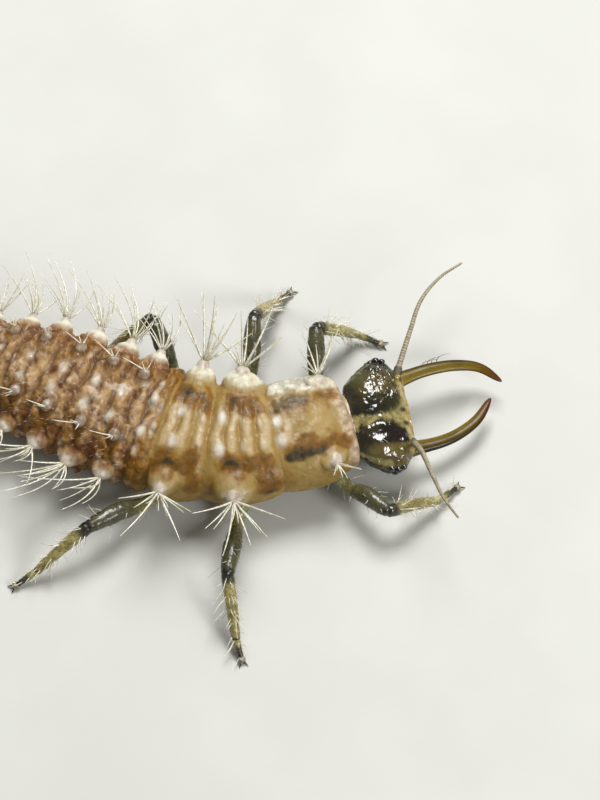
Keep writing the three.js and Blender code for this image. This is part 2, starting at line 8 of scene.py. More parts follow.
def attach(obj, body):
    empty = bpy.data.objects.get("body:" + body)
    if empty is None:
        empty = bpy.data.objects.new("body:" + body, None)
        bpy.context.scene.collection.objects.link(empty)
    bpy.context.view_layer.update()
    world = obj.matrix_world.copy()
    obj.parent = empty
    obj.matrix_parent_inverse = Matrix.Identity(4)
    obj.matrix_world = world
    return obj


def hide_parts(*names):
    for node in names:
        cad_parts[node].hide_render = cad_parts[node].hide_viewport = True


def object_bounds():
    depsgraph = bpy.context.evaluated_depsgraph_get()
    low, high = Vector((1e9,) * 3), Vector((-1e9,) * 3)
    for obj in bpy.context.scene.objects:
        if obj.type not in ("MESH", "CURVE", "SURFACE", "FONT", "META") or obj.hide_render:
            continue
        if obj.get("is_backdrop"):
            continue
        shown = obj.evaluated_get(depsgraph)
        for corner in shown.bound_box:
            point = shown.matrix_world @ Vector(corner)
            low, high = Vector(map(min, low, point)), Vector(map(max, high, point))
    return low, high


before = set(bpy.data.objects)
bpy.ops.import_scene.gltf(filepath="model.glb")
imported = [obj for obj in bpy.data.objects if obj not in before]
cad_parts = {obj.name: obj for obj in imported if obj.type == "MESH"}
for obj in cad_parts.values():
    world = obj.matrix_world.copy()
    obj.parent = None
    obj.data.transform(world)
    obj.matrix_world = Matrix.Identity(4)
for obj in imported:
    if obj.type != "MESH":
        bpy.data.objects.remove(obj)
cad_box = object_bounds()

# The camera looks down on the larva's back and right side through a long lens, as the photograph does, and
# lets the tail run out of the picture. Places are in millimetres from a point on the floor under the middle
# of the thorax, which lies at STANDING_POINT in the frame.
MM = 0.001
STANDING_POINT = np.array([0.558, 0.048, 0.0])
VIEW_CENTRE = np.array([0.55, 0.47, 0.5])
VIEW_HEIGHT = 8.0
VIEW_DISTANCE = 120.0
VIEW_ELEVATION = 62.0
FILM_HEIGHT = 36.0

lens = bpy.data.cameras.new("camera")
lens.sensor_width = FILM_HEIGHT
lens.lens = FILM_HEIGHT * VIEW_DISTANCE / VIEW_HEIGHT
lens.clip_start = 10 * MM
lens.clip_end = 2.0
camera = bpy.data.objects.new("camera", lens)
bpy.context.scene.collection.objects.link(camera)
bpy.context.scene.camera = camera
tilt = math.radians(VIEW_ELEVATION)
view_back = np.array([0.0, -math.cos(tilt), math.sin(tilt)])
camera.location = (STANDING_POINT + VIEW_CENTRE + view_back * VIEW_DISTANCE) * MM
camera.rotation_euler = (math.pi / 2 - tilt, 0, 0)

# A plain pale floor and soft studio light: one large lamp from each side, behind the back as seen from the
# camera, and an even pale surround that fills the shadows.
FLOOR_SIZE = 1.2
# Each lamp: its place from the standing point and its width in millimetres, and its power in watts.
LAMPS = [
    ("key_lamp", (4.0, 22.0, 38.0), 20.0, 0.024),
    ("fill_lamp", (30.0, -22.0, 26.0), 13.0, 0.011),
]
SURROUND_COLOUR = "f4f6ee"
SURROUND_STRENGTH = 0.27


def colour(code):
    """A colour of six hexadecimal digits as the linear numbers that shaders take."""
    parts = [int(code[i : i + 2], 16) / 255 for i in (0, 2, 4)]
    return tuple(c / 12.92 if c <= 0.04045 else ((c + 0.055) / 1.055) ** 2.4 for c in parts) + (1.0,)


class Wire:
    """A socket of a material's nodes. Sums on it add Math nodes, and node() adds any other node."""

    def __init__(self, tree, socket=None):
        self.tree = tree
        self.socket = socket

    def node(self, kind, settings=None, inputs=None, output=0):
        made = self.tree.nodes.new("ShaderNode" + kind)
        for name, value in (settings or {}).items():
            setattr(made, name, value)
        for name, value in (inputs or {}).items():
            if isinstance(value, Wire):
                self.tree.links.new(value.socket, made.inputs[name])
            else:
                made.inputs[name].default_value = value
        return Wire(self.tree, made.outputs[output])

    def sum(self, operation, first, second=0.0):
        return self.node("Math", {"operation": operation}, {0: first, 1: second})

    def __add__(self, other):
        return self.sum("ADD", self, other)

    def __radd__(self, other):
        return self.sum("ADD", other, self)

    def __sub__(self, other):
        return self.sum("SUBTRACT", self, other)

    def __rsub__(self, other):
        return self.sum("SUBTRACT", other, self)

    def __mul__(self, other):
        return self.sum("MULTIPLY", self, other)

    def __rmul__(self, other):
        return self.sum("MULTIPLY", other, self)

    def between(self, low, high):
        """0 below low, 1 above high and a smooth step between them."""
        return self.node(
            "MapRange",
            {"interpolation_type": "SMOOTHSTEP"},
            {"Value": self, "From Min": low, "From Max": high},
        )

    def over(self, share, shade):
        """This colour with another one, or a colour code, painted over it where share is high."""
        shade = shade if isinstance(shade, Wire) else colour(shade)
        return self.node("Mix", {"data_type": "RGBA"}, {0: share, 6: self, 7: shade}, output=2)

    def tint(self, first, second, low=0.35, high=0.65):
        """From one colour code to another as this value rises from low to high."""
        shades = {0: self.between(low, high), 6: colour(first), 7: colour(second)}
        return self.node("Mix", {"data_type": "RGBA"}, shades, output=2)

    def bump(self, depth, strength):
        """A normal from this height, depth millimetres deep."""
        return self.node("Bump", {}, {"Height": self, "Distance": depth * MM, "Strength": strength})

    def masks(self, names):
        """The masks that a piece's points carry, by name."""
        return {name: self.node("Attribute", {"attribute_name": name}, output=2) for name in names}


def new_material(name, finish, paint):
    """A material whose constants are in finish and whose Base Color and the like come from paint."""
    material = bpy.data.materials.new(name)
    material.use_nodes = True
    tree = material.node_tree
    shader = tree.nodes["Principled BSDF"]
    for socket, value in finish.items():
        shader.inputs[socket].default_value = value
    for socket, value in paint(Wire(tree)).items():
        if isinstance(value, Wire):
            tree.links.new(value.socket, shader.inputs[socket])
        else:
            shader.inputs[socket].default_value = value
    return material


def millimetres(start):
    """Places on the model in millimetres, for patterns."""
    place = start.node("TexCoord", output=3)
    return start.node("VectorMath", {"operation": "SCALE"}, {0: place, "Scale": 1 / MM})


def speckle(place, size, detail=3.0):
    """Soft noise about 0.5 with spots of a size in millimetres."""
    return place.node("TexNoise", {}, {"Vector": place, "Scale": 1 / size, "Detail": detail})


def paint_floor(start):
    return {"Base Color": speckle(millimetres(start), 1.5).tint("bebeb9", "c2c2bd", 0.35, 0.7)}


floor_mesh = bpy.data.meshes.new("floor")
half = FLOOR_SIZE / 2
corners = [(-half, -half, 0), (half, -half, 0), (half, half, 0), (-half, half, 0)]
floor_mesh.from_pydata(corners, [], [(0, 1, 2, 3)])
floor_mesh.materials.append(new_material("floor", {"Roughness": 0.8}, paint_floor))
floor = bpy.data.objects.new("floor", floor_mesh)
bpy.context.scene.collection.objects.link(floor)
floor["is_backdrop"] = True

for name, place, size, power in LAMPS:
    lamp = bpy.data.lights.new(name, "AREA")
    lamp.size = size * MM
    lamp.energy = power
    stand = bpy.data.objects.new(name, lamp)
    bpy.context.scene.collection.objects.link(stand)
    stand.location = (STANDING_POINT + np.array(place)) * MM
    aim = Vector((STANDING_POINT + VIEW_CENTRE) * MM) - stand.location
    stand.rotation_euler = aim.to_track_quat("-Z", "Y").to_euler()

world = bpy.data.worlds.new("surround")
world.use_nodes = True
backdrop = world.node_tree.nodes["Background"]
backdrop.inputs["Color"].default_value = colour(SURROUND_COLOUR)
backdrop.inputs["Strength"].default_value = SURROUND_STRENGTH
bpy.context.scene.world = world
bpy.context.scene.view_settings.view_transform = "Standard"

# The soft skin of the body: one piece from the neck to the tip of the tail, thirteen rings folded where
# they meet and wrinkled across the back, with white warts along the sides. In life it is thin, moist skin
# over pale flesh. Here it is rows of points round the body's line, which are then pushed out or in.
UP = np.array([0.0, 0.0, 1.0])
BODY_STOPS = [
    (1.02, 0.238, 0.478),
    (0.55, 0.08, 0.505),
    (0, -0.035, 0.52),
    (-0.6, 0.035, 0.515),
    (-1.3, 0.31, 0.5),
    (-2.0, 0.67, 0.46),
    (-2.75, 1.06, 0.325),
    (-3.3, 1.3, 0.175),
    (-3.62, 1.41, 0.095),
]
# Each ring: length, width, how far it rises above the line and drops below it, and its wrinkles.
RINGS = {
    "prothorax": (0.787, 1.13, 0.31, 0.26, 4.2),
    "mesothorax": (0.623, 1.25, 0.36, 0.31, 4.0),
    "metathorax": (0.465, 1.31, 0.38, 0.33, 3.0),
    "abdomen_1": (0.185, 1.3, 0.39, 0.35, 1.0),
    "abdomen_2": (0.36, 1.3, 0.4, 0.37, 2.0),
    "abdomen_3": (0.345, 1.29, 0.41, 0.38, 2.0),
    "abdomen_4": (0.385, 1.24, 0.4, 0.38, 2.0),
    "abdomen_5": (0.34, 1.15, 0.37, 0.36, 2.0),
    "abdomen_6": (0.33, 1.02, 0.33, 0.32, 2.0),
    "abdomen_7": (0.33, 0.86, 0.28, 0.26, 2.0),
    "abdomen_8": (0.31, 0.68, 0.23, 0.2, 2.0),
    "abdomen_9": (0.28, 0.5, 0.175, 0.15, 1.0),
    "abdomen_10": (0.29, 0.33, 0.13, 0.14, 1.0),
}
COLLAR = (0.98, 0.25, 0.2)
# The collar's edge rolls inwards over COLLAR_LIP, from COLLAR_EDGE behind the neck's joint.
COLLAR_LIP = 0.055
COLLAR_EDGE = 0.04
TAIL_TIP = (0.2, 0.09, 0.13)
# How far the back leans to the right at the collar, in degrees. It stands upright again at the tail.
BODY_ROLL = 5
FULLNESS = 0.88
FOLD_DEPTH = 0.08
NECK_LENGTH = 0.1
NECK_SIZE = (0.56, 0.13, 0.12)
TAIL_ROUND = 0.035
SKIN_ROWS = 600
LIP_ROWS = 40
SKIN_COLUMNS = 300
# The wart on each side of a ring: half sizes along, up and out, the degrees that it looks up by, and its
# bristles. The rings of the abdomen from FIRST_BACK_WART on have two smaller ones on the back as well.
SIDE_WARTS = {
    "prothorax": (0.14, 0.1, 0.11, 26, 7),
    "mesothorax": (0.2, 0.18, 0.24, 18, 12),
    "metathorax": (0.15, 0.15, 0.22, 18, 12),
    "abdomen_2": (0.12, 0.11, 0.17, 10, 9),
    "abdomen_3": (0.12, 0.11, 0.17, 10, 10),
    "abdomen_4": (0.12, 0.11, 0.17, 10, 10),
    "abdomen_5": (0.11, 0.11, 0.17, 10, 10),
    "abdomen_6": (0.11, 0.1, 0.15, 10, 10),
    "abdomen_7": (0.1, 0.09, 0.13, 10, 9),
    "abdomen_8": (0.07, 0.06, 0.08, 10, 7),
}
WART_SINK = 0.2
# How far in front of the ring's middle the left and the right wart sit.
WART_AHEAD = {"prothorax": (0.24, 0.1), "mesothorax": (0.06, -0.06), "metathorax": (0.0, -0.08)}
BACK_WART_TILT = 46
FIRST_BACK_WART = 4
# Where the pattern's middle line lies, in degrees round the body and in millimetres across it.
PATTERN_MIDDLE = -3.5
PATTERN_SHIFT = -0.05


class Line:
    """A smooth line through stops, with places and headings at shares of its length from 0 to 1."""

    def __init__(self, stops, steps=120):
        stops = np.array(stops, float)
        ends = np.vstack([2 * stops[0] - stops[1], stops, 2 * stops[-1] - stops[-2]])
        t = np.linspace(0, 1, steps, endpoint=False)[:, None]
        runs = []
        for before, start, end, after in zip(ends, ends[1:], ends[2:], ends[3:]):
            gaps = [np.linalg.norm(step) ** 0.5 for step in (start - before, end - start, after - end)]
            rise = end - start
            leave = (start - before) / gaps[0] - (end - before) / (gaps[0] + gaps[1]) + rise / gaps[1]
            arrive = rise / gaps[1] - (after - start) / (gaps[1] + gaps[2]) + (after - end) / gaps[2]
            leave, arrive = leave * gaps[1], arrive * gaps[1]
            curl = 3 * rise - 2 * leave - arrive + t * (leave + arrive - 2 * rise)
            runs.append(start + t * (leave + t * curl))
        self.places = np.vstack([*runs, stops[-1:]])
        steps_out = np.linalg.norm(np.diff(self.places, axis=0), axis=1)
        self.reached = np.concatenate([[0], np.cumsum(steps_out)])
        self.length = self.reached[-1]

    def at(self, share):
        reach = np.clip(share, 0, 1) * self.length
        return np.stack([np.interp(reach, self.reached, self.places[:, k]) for k in range(3)], axis=-1)

    def heading(self, share):
        share = np.asarray(share, float)
        return unit(self.at(np.minimum(share + 0.004, 1)) - self.at(np.maximum(share - 0.004, 0)))

    def axes(self, share):
        """The heading, and the directions to its left and above it."""
        heading = self.heading(share)
        left = unit(np.cross(UP, heading))
        return heading, left, np.cross(heading, left)


def unit(vectors):
    return vectors / np.maximum(np.linalg.norm(vectors, axis=-1, keepdims=True), 1e-12)


def eased(stations, values, at):
    """Values between stations, eased from one to the next."""
    stations, values = np.array(stations, float), np.array(values, float)
    slopes = np.zeros(len(stations))
    slopes[1:-1] = (values[2:] - values[:-2]) / (stations[2:] - stations[:-2])
    i = np.clip(np.searchsorted(stations, at, side="right") - 1, 0, len(stations) - 2)
    span = stations[i + 1] - stations[i]
    t = np.clip((at - stations[i]) / span, 0, 1)
    rise, leave, arrive = values[i + 1] - values[i], slopes[i] * span, slopes[i + 1] * span
    return values[i] + t * (leave + t * (3 * rise - 2 * leave - arrive + t * (leave + arrive - 2 * rise)))


def step(value, low, high):
    """0 below low, 1 above high and a smooth step between them. Low may be the higher one."""
    t = np.clip((value - low) / (high - low), 0, 1)
    return t * t * (3 - 2 * t)


def window(value, low, high, edge):
    """1 between low and high, with soft edges."""
    return step(value, low - edge, low + edge) * step(value, high + edge, high - edge)


def squared(angle, fullness):
    """Across and up on a ring slightly squarer than a circle."""
    across, upward = np.cos(angle), np.sin(angle)
    return np.sign(across) * np.abs(across) ** fullness, np.sign(upward) * np.abs(upward) ** fullness


def waves(places, size, seed, layers=3):
    """Seeded noise about 0 at places, with features of a size."""
    at = (places / size + seed * 7.31).reshape(-1, 3)
    drawn = np.fromiter((noise.fractal(p, 1.0, 2.0, layers) for p in at.tolist()), float, len(at))
    return drawn.reshape(places.shape[:-1])


def grains(places, size, seed):
    """Rounded grains of a size, 0 in the furrows between them and 1 on top."""
    at = (places / size + seed * 3.17).reshape(-1, 3)
    near = np.fromiter((noise.voronoi(p)[0][0] for p in at.tolist()), float, len(at))
    return np.clip(1 - near, 0, 1).reshape(places.shape[:-1])


def facing(rings):
    """The way out of a closed skin at each of its points."""
    ahead = np.gradient(rings, axis=0)
    beside = np.roll(rings, -1, axis=1) - np.roll(rings, 1, axis=1)
    out = unit(np.cross(beside, ahead))
    middles = rings.mean(axis=1, keepdims=True)
    return out * np.sign(np.sum(out * (rings - middles)))


def show(name, skin, material, replaced=(), masks=None):
    """Makes a piece of the model from a skin: its points in millimetres, its faces and its bake map."""
    points, faces, patches = skin
    mesh = bpy.data.meshes.new(name)
    mesh.from_pydata(((points + STANDING_POINT) * MM).tolist(), [], faces)
    mesh.polygons.foreach_set("use_smooth", [True] * len(mesh.polygons))
    for mask, values in (masks or {}).items():
        kept = mesh.attributes.new(mask, "FLOAT", "POINT")
        kept.data.foreach_set("value", np.ascontiguousarray(values, np.float32).ravel())
    layer = mesh.uv_layers.new(name="OFBake")
    layer.data.foreach_set("uv", np.ascontiguousarray(patches, np.float32).ravel())
    mesh.materials.append(material)
    mesh.update()
    piece = bpy.data.objects.new(name, mesh)
    bpy.context.scene.collection.objects.link(piece)
    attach(piece, "root")
    if replaced:
        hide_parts(*replaced)


def close(rings):
    """Points and faces of a closed skin over rings, and its bake map."""
    rows, columns = rings.shape[:2]
    points = np.vstack([rings.reshape(-1, 3), rings[0].mean(axis=0), rings[-1].mean(axis=0)])
    r, c = (grid.ravel() for grid in np.indices((rows - 1, columns)))
    edges = np.stack([r * columns + c, r * columns + (c + 1) % columns], axis=1)
    quads = np.hstack([edges, edges[:, ::-1] + columns])
    u = 0.02 + 0.96 * np.stack([r, r, r + 1, r + 1], axis=1) / (rows - 1)
    v = np.stack([c, c + 1, c + 1, c], axis=1) / columns
    around = np.arange(columns)
    after = (around + 1) % columns
    base = (rows - 1) * columns
    front = np.stack([after, around, np.full(columns, rows * columns)], axis=1)
    back = np.stack([base + around, base + after, np.full(columns, rows * columns + 1)], axis=1)
    sides = np.stack([around + 1, around, around + 0.5], axis=1) / columns
    front_map = np.stack([np.tile([0.02, 0.02, 0.004], (columns, 1)), sides], axis=2)
    back_sides = np.stack([around, around + 1, around + 0.5], axis=1) / columns
    back_map = np.stack([np.tile([0.98, 0.98, 0.996], (columns, 1)), back_sides], axis=2)
    faces = quads.tolist() + front.tolist() + back.tolist()
    maps = [np.stack([u, v], axis=2), front_map, back_map]
    first = points[quads[0]]
    outward = np.cross(first[1] - first[0], first[2] - first[0])
    if np.dot(outward, first[0] - rings[0].mean(axis=0)) < 0:
        faces = [face[::-1] for face in faces]
        maps = [corners[:, ::-1] for corners in maps]
    return points, faces, np.vstack([corners.reshape(-1, 2) for corners in maps])


def with_ends(values):
    """A mask on rings, with values for the two points that close the ends."""
    return np.concatenate([values.ravel(), [values[0].mean(), values[-1].mean()]])


body_line = Line(BODY_STOPS)
ring_lengths = np.array([ring[0] for ring in RINGS.values()])
ring_ends = np.concatenate([[0], np.cumsum(ring_lengths)]) / ring_lengths.sum() * body_line.length
ring_spans = np.diff(ring_ends)
ring_middles = (ring_ends[1:] + ring_ends[:-1]) / 2
ring_names = list(RINGS)
size_stations = np.concatenate([[0], ring_middles, [body_line.length]])


def body_size(which, reach):
    values = [COLLAR[which], *[ring[which + 1] for ring in RINGS.values()], TAIL_TIP[which]]
    return eased(size_stations, values, reach)


def body_axes(reach):
    """At a place on the body's line: towards the tail, to the right and up, with the lean of the back."""
    share = np.clip(np.asarray(reach, float) / body_line.length, 0, 1)
    tailward, right, over = body_line.axes(share)
    lean = np.radians(BODY_ROLL * (1 - share))[..., None]
    return tailward, right * np.cos(lean) - over * np.sin(lean), over * np.cos(lean) + right * np.sin(lean)


reach = np.concatenate(
    [
        np.linspace(-NECK_LENGTH, 0.08, LIP_ROWS, endpoint=False),
        np.linspace(0.08, body_line.length + TAIL_ROUND, SKIN_ROWS),
    ]
)
tailward, rightward, above = body_axes(reach)
past = np.where(reach < 0, reach, np.maximum(reach - body_line.length, 0))
middles = body_line.at(reach / body_line.length) + tailward * past[:, None]
ring_at = np.clip(np.searchsorted(ring_ends, reach, side="right") - 1, 0, len(RINGS) - 1)
share = np.clip((reach - ring_ends[ring_at]) / ring_spans[ring_at], 0, 1)
fold_depth = FOLD_DEPTH * (1 - 0.55 * (ring_at > 2))
fold = 1 - fold_depth * (1 - np.sin(np.pi * share) ** 0.65)
sizes = [body_size(k, reach) * fold for k in range(3)]
in_neck = 1 - np.sqrt(np.clip(1 - (np.minimum(reach - COLLAR_EDGE, 0) / COLLAR_LIP) ** 2, 0, 1))
into_tail = np.sqrt(np.clip(1 - (np.maximum(reach - body_line.length, 0) / TAIL_ROUND) ** 2, 0.02, 1))
sizes = [(size * (1 - in_neck) + neck * in_neck) * into_tail for size, neck in zip(sizes, NECK_SIZE)]

# The angle round the body is 0 on top of the back, positive to the left and 180 under the belly.
turn = np.linspace(-180, 180, SKIN_COLUMNS, endpoint=False)
across, upward = squared(np.radians(90 - turn), FULLNESS)
height = np.where(upward > 0, sizes[1][:, None], sizes[2][:, None]) * upward
width = across * sizes[0][:, None] / 2
rings = middles[:, None] - rightward[:, None] * width[..., None] + above[:, None] * height[..., None]


def wart_places():
    """Each wart: its ring, side, foot, axes (forward, up, out), half sizes and number of bristles."""
    for index, name in enumerate(ring_names):
        if name not in SIDE_WARTS:
            continue
        *side_sizes, side_tilt, side_bristles = SIDE_WARTS[name]
        back_size = 0.055 + 0.04 * float(body_size(0, ring_middles[index]))
        kinds = [(side_tilt, side_sizes, side_sizes[2] * WART_SINK, side_bristles)]
        if index >= FIRST_BACK_WART:
            kinds.append((BACK_WART_TILT, [back_size * 0.7, back_size, back_size * 0.7], 0.02, 3))
        for side, ahead in zip((1, -1), WART_AHEAD.get(name, (0, 0))):
            here = ring_middles[index] - ahead
            tail, right, over = body_axes(here)
            middle = body_line.at(here / body_line.length)
            for tilt_degrees, half_sizes, sunk, bristles in kinds:
                tilted = math.radians(tilt_degrees)
                level, upright = math.cos(tilted), math.sin(tilted)
                out = -right * side * level + over * upright
                raised = np.cross(-tail, out) * side
                skin_at = math.hypot(body_size(0, here) / 2 * level, body_size(1, here) * upright)
                foot = middle + out * (skin_at - sunk)
                yield index, side, foot, (-tail, raised, out), half_sizes, bristles


# A wart swells out of the skin as a rounded mound with a smaller knob on top, where its bristles root.
# The wrinkles and grains fade out on it.
warts = list(wart_places())
swelling = np.zeros_like(rings)
wart_mask, knob_mask, halo_mask, calm = (np.zeros_like(rings[..., 0]) for _ in range(4))
for index, side, foot, axes, half_sizes, bristles in warts:
    away = rings - foot
    along, up_it, out_it = (away @ axis for axis in axes)
    is_side = bristles > 4
    half_up = half_sizes[1] * np.where((up_it > 0) & is_side, 0.86, 1.12)
    spread = np.hypot(along / (half_sizes[0] * 1.12), up_it / half_up)
    knob_half = 0.34 * half_sizes[1] + (0.03 if index == 0 else 0.014) if is_side else 0.55 * half_sizes[1]
    from_knob = np.hypot(along, up_it) / knob_half
    mound = (0.64 if is_side else 0.5) * half_sizes[2] * np.clip(1 - spread**2, 0, 1) ** 0.58
    knob_height = 0.16 * half_sizes[2] + 0.016 if is_side else 0.034
    knob = knob_height * np.sqrt(np.clip(1.05 - from_knob**2, 0, 1))
    near = (out_it > -half_sizes[2] - 0.1) & (spread < 1.6)
    swelling = swelling + np.where(near, mound + knob, 0)[..., None] * axes[2]
    calm = np.maximum(calm, np.where(near, step(spread, 1.5, 0.9), 0))
    # The white is painted narrower and softer on the right-hand warts: painted shade on the side turned from
    # the lamps.
    whitened = step(spread, 1.15, 0.55 if side > 0 else 0.2)
    wart_mask = np.maximum(wart_mask, np.where(near, whitened, 0) * is_side)
    knob_mask = np.maximum(knob_mask, np.where(near, step(from_knob, 1.25, 0.8), 0))
    if not is_side:
        halo_mask = np.maximum(halo_mask, np.where(near, step(from_knob, 2.1, 1.1), 0))

# Wrinkles run across the back and fade down the sides, and the flanks swell between the folds.
in_abdomen = step(reach, ring_ends[3] - 0.1, ring_ends[4])[:, None]
place_in_ring = share[:, None] + (0.07 + 0.07 * in_abdomen) * waves(rings, 0.3, 1)
side_turn = np.abs(turn - PATTERN_MIDDLE)[None] + 4 * waves(rings, 0.22, 2)
wrinkles = np.array([ring[4] for ring in RINGS.values()])[ring_at]
wrinkle_at = place_in_ring * wrinkles[:, None]
is_abdomen = in_abdomen + np.zeros_like(rings[..., 0])
ridge = np.abs(np.sin(np.pi * wrinkle_at)) ** (1.3 - 0.2 * is_abdomen)
plain_front = window(reach[:, None], 0.0, ring_ends[1] * 0.75, 0.08)
on_back = 1 - step(side_turn, 22 + 38 * is_abdomen, 50 + 62 * is_abdomen)
on_back = on_back * (1 - 0.85 * plain_front) * (1 - in_neck[:, None]) * (1 - calm)
ridge_height = 0.016 + 0.004 * is_abdomen
flank = window(side_turn, 88, 128, 18) * np.sin(np.pi * share)[:, None] ** 0.8
lumps = waves(rings, 0.16, 3)
slim = np.clip(sizes[0] / 1.2, 0.25, 1)[:, None]
creases = waves(rings, 0.075, 6)
lump_height = 0.008 + 0.012 * is_abdomen
push = slim * (ridge_height * (ridge - 0.75) * on_back + 0.02 * flank + lump_height * lumps)
push = push + slim * (0.003 + 0.007 * is_abdomen) * creases * (1 - 0.6 * calm)
rings = rings + facing(rings) * push[..., None]

# Rounded tubercles stand in two rows across each ring of the abdomen, so many degrees apart.
TUBERCLE_ROWS = (0.27, 0.73)
TUBERCLE_APART = 12.5
TUBERCLE_HALF = (0.05, 0.09)
TUBERCLE_HEIGHT = 0.03
draw = np.random.default_rng(5)
tubercles = np.zeros_like(push)
tubercle_shade = np.zeros_like(push)
for ring in range(3, len(RINGS)):
    for along in TUBERCLE_ROWS:
        for spot in np.arange(-118, 119, TUBERCLE_APART):
            at = ring_ends[ring] + (along + draw.normal(0, 0.05)) * ring_spans[ring]
            row = np.searchsorted(reach, at)
            column = int((spot + draw.normal(0, 3) + 180) / 360 * SKIN_COLUMNS)
            half = draw.uniform(*TUBERCLE_HALF) * slim[row, 0]
            band = slice(row - 14, row + 15)
            away = rings[band] - rings[row, column]
            back_off = away @ tailward[row]
            bump = np.clip(1 - (np.sum(away**2, axis=-1) + 0.9 * back_off**2) / half**2, 0, 1)
            tubercles[band] = np.maximum(tubercles[band], bump)
            tubercle_shade[band] = np.maximum(tubercle_shade[band], bump**0.6 * draw.uniform(0.25, 1.0))
raised_by = TUBERCLE_HEIGHT * slim * tubercles * (0.8 + 0.5 * lumps) * (1 - calm)
rings = rings + facing(rings) * raised_by[..., None] + swelling

# Smooth knobs in pairs on the back: the ring, how far along it, how far from the middle line, their half
# sizes and how pale they are. The white ones lie beside the middle line, the greyer ones further out.
# Their pale paint is partly the fat seen through the skin and partly a painted highlight.
BACK_KNOBS = [
    (0, 0.94, 0.105, (0.055, 0.085), 1.0),
    (1, 0.2, 0.12, (0.04, 0.1), 0.45),
    (1, 0.48, 0.13, (0.04, 0.1), 0.45),
    (1, 0.81, 0.172, (0.055, 0.092), 1.0),
    (2, 0.15, 0.13, (0.04, 0.09), 0.4),
    (2, 0.66, 0.17, (0.055, 0.09), 0.9),
    (3, 0.3, 0.12, (0.04, 0.09), 0.5),
    (3, 0.82, 0.172, (0.05, 0.09), 0.95),
    (3, 0.78, 0.36, (0.045, 0.08), 0.6),
    (4, 0.86, 0.15, (0.055, 0.095), 0.9),
    (4, 0.3, 0.3, (0.05, 0.08), 0.6),
    (5, 0.66, 0.14, (0.055, 0.09), 0.8),
    (6, 0.62, 0.13, (0.05, 0.085), 0.7),
    (7, 0.6, 0.12, (0.045, 0.075), 0.65),
    (8, 0.6, 0.1, (0.04, 0.06), 0.6),
    (9, 0.6, 0.09, (0.03, 0.05), 0.5),
]
across_back = width * np.where(upward > 0, 1, 9)
beads = np.zeros_like(push)
bead_shade = np.zeros_like(push)
for ring, along, apart, half_sizes, paleness in BACK_KNOBS:
    middle = ring_ends[ring] + along * ring_spans[ring]
    for side in (-1, 1):
        far_along = (reach[:, None] - middle) / half_sizes[0]
        far_across = (across_back - PATTERN_SHIFT - side * apart) / half_sizes[1]
        bead = np.clip(1 - far_along**2 - far_across**2, 0, 1) ** 0.8
        beads = np.maximum(beads, bead)
        bead_shade = np.maximum(bead_shade, paleness * np.exp(-1.1 * (far_along**2 + far_across**2)))

# Behind the first wart a low white swelling runs back to the ring's end, frosty and broad on the left and
# faint on the right.
FROST_HEIGHT = 0.03
from_front = (reach / ring_ends[1])[:, None] + 0.06 * creases
frost = window(from_front, 0.3, 0.9, 0.12) * np.where(turn > 0, 1.0, 0.12)
frost = frost * window(side_turn + 8 * lumps, np.where(turn > 0, 38, 66)[None], 82 - 14 * from_front, 9)
rings = rings + facing(rings) * (FROST_HEIGHT * frost * (0.9 + 0.4 * creases))[..., None]

# Grains all over the abdomen, and much finer ones on the warts and the thorax.
GRAIN_SIZE = 0.048
FINE_GRAIN_SIZE = 0.026
coarse = 0.5 * grains(rings, GRAIN_SIZE, 4) + 0.5 * grains(rings, FINE_GRAIN_SIZE, 7)
lumps = waves(rings, 0.16, 3)
tiny = grains(rings, FINE_GRAIN_SIZE, 5)
is_smooth = np.maximum(np.maximum(0.8 * calm, 0.8 * beads), knob_mask)
grain_height = (0.003 + 0.01 * is_abdomen) * (1 - is_smooth) * slim
push = grain_height * (coarse - 0.6) + 0.003 * (tiny - 0.6) * (1 - knob_mask) + 0.012 * beads * (1 - calm)
push = push * (1 - in_neck)[:, None]
rings = rings + facing(rings) * push[..., None]
rings[..., 2] = np.maximum(rings[..., 2], 0.001)

# Brown bands on both sides of the back, and the black marks in them: side (1 left, -1 right, 0 both), ring,
# from and to along the ring, from and to in degrees from the middle line, and how strong.
BROWN_MARKS = [
    (0, 0, 0.06, 0.36, 20, 36, 1.0),
    (0, 0, 0.3, 0.95, 13, 27, 0.6),
    (-1, 0, 0.25, 0.8, 11, 30, 1.0),
    (0, 0, 0.9, 1.0, 26, 80, 0.5),
    (1, 1, 0.1, 0.8, 16, 42, 1.0),
    (-1, 1, 0.08, 0.82, 18, 40, 1.0),
    (-1, 1, 0.0, 0.36, 36, 76, 0.9),
    (0, 1, 0.8, 1.0, 40, 80, 0.5),
    (1, 2, 0.05, 0.95, 17, 46, 1.0),
    (-1, 2, 0.1, 0.95, 22, 46, 1.0),
    (-1, 2, 0.0, 0.3, 40, 74, 0.85),
    (0, 2, 0.85, 1.0, 36, 84, 0.8),
    (0, 3, 0.0, 1.0, 40, 78, 0.75),
    (0, 3, 0.0, 0.7, 20, 40, 0.6),
]
for ring in range(4, 11):
    BROWN_MARKS.append((0, ring, 0.3, 0.78, 22, 54, 0.85))
    BROWN_MARKS.append((0, ring, 0.78, 1.0, 70, 110, 0.7))
BLACK_MARKS = [
    (1, 0, 0.44, 0.98, 17, 35, 0.62),
    (-1, 0, 0.42, 0.94, 22, 34, 1.0),
    (0, 0, 0.98, 1.0, 62, 74, 0.8),
    (1, 1, 0.5, 0.68, 27, 37, 0.75),
    (-1, 1, 0.55, 0.75, 27, 36, 1.0),
    (-1, 1, 0.12, 0.24, 70, 79, 0.9),
    (0, 2, 0.52, 0.74, 29, 38, 0.9),
    (0, 2, 0.86, 0.98, 52, 60, 0.7),
    (-1, 0, 0.02, 0.1, 3, 10, 0.5),
]


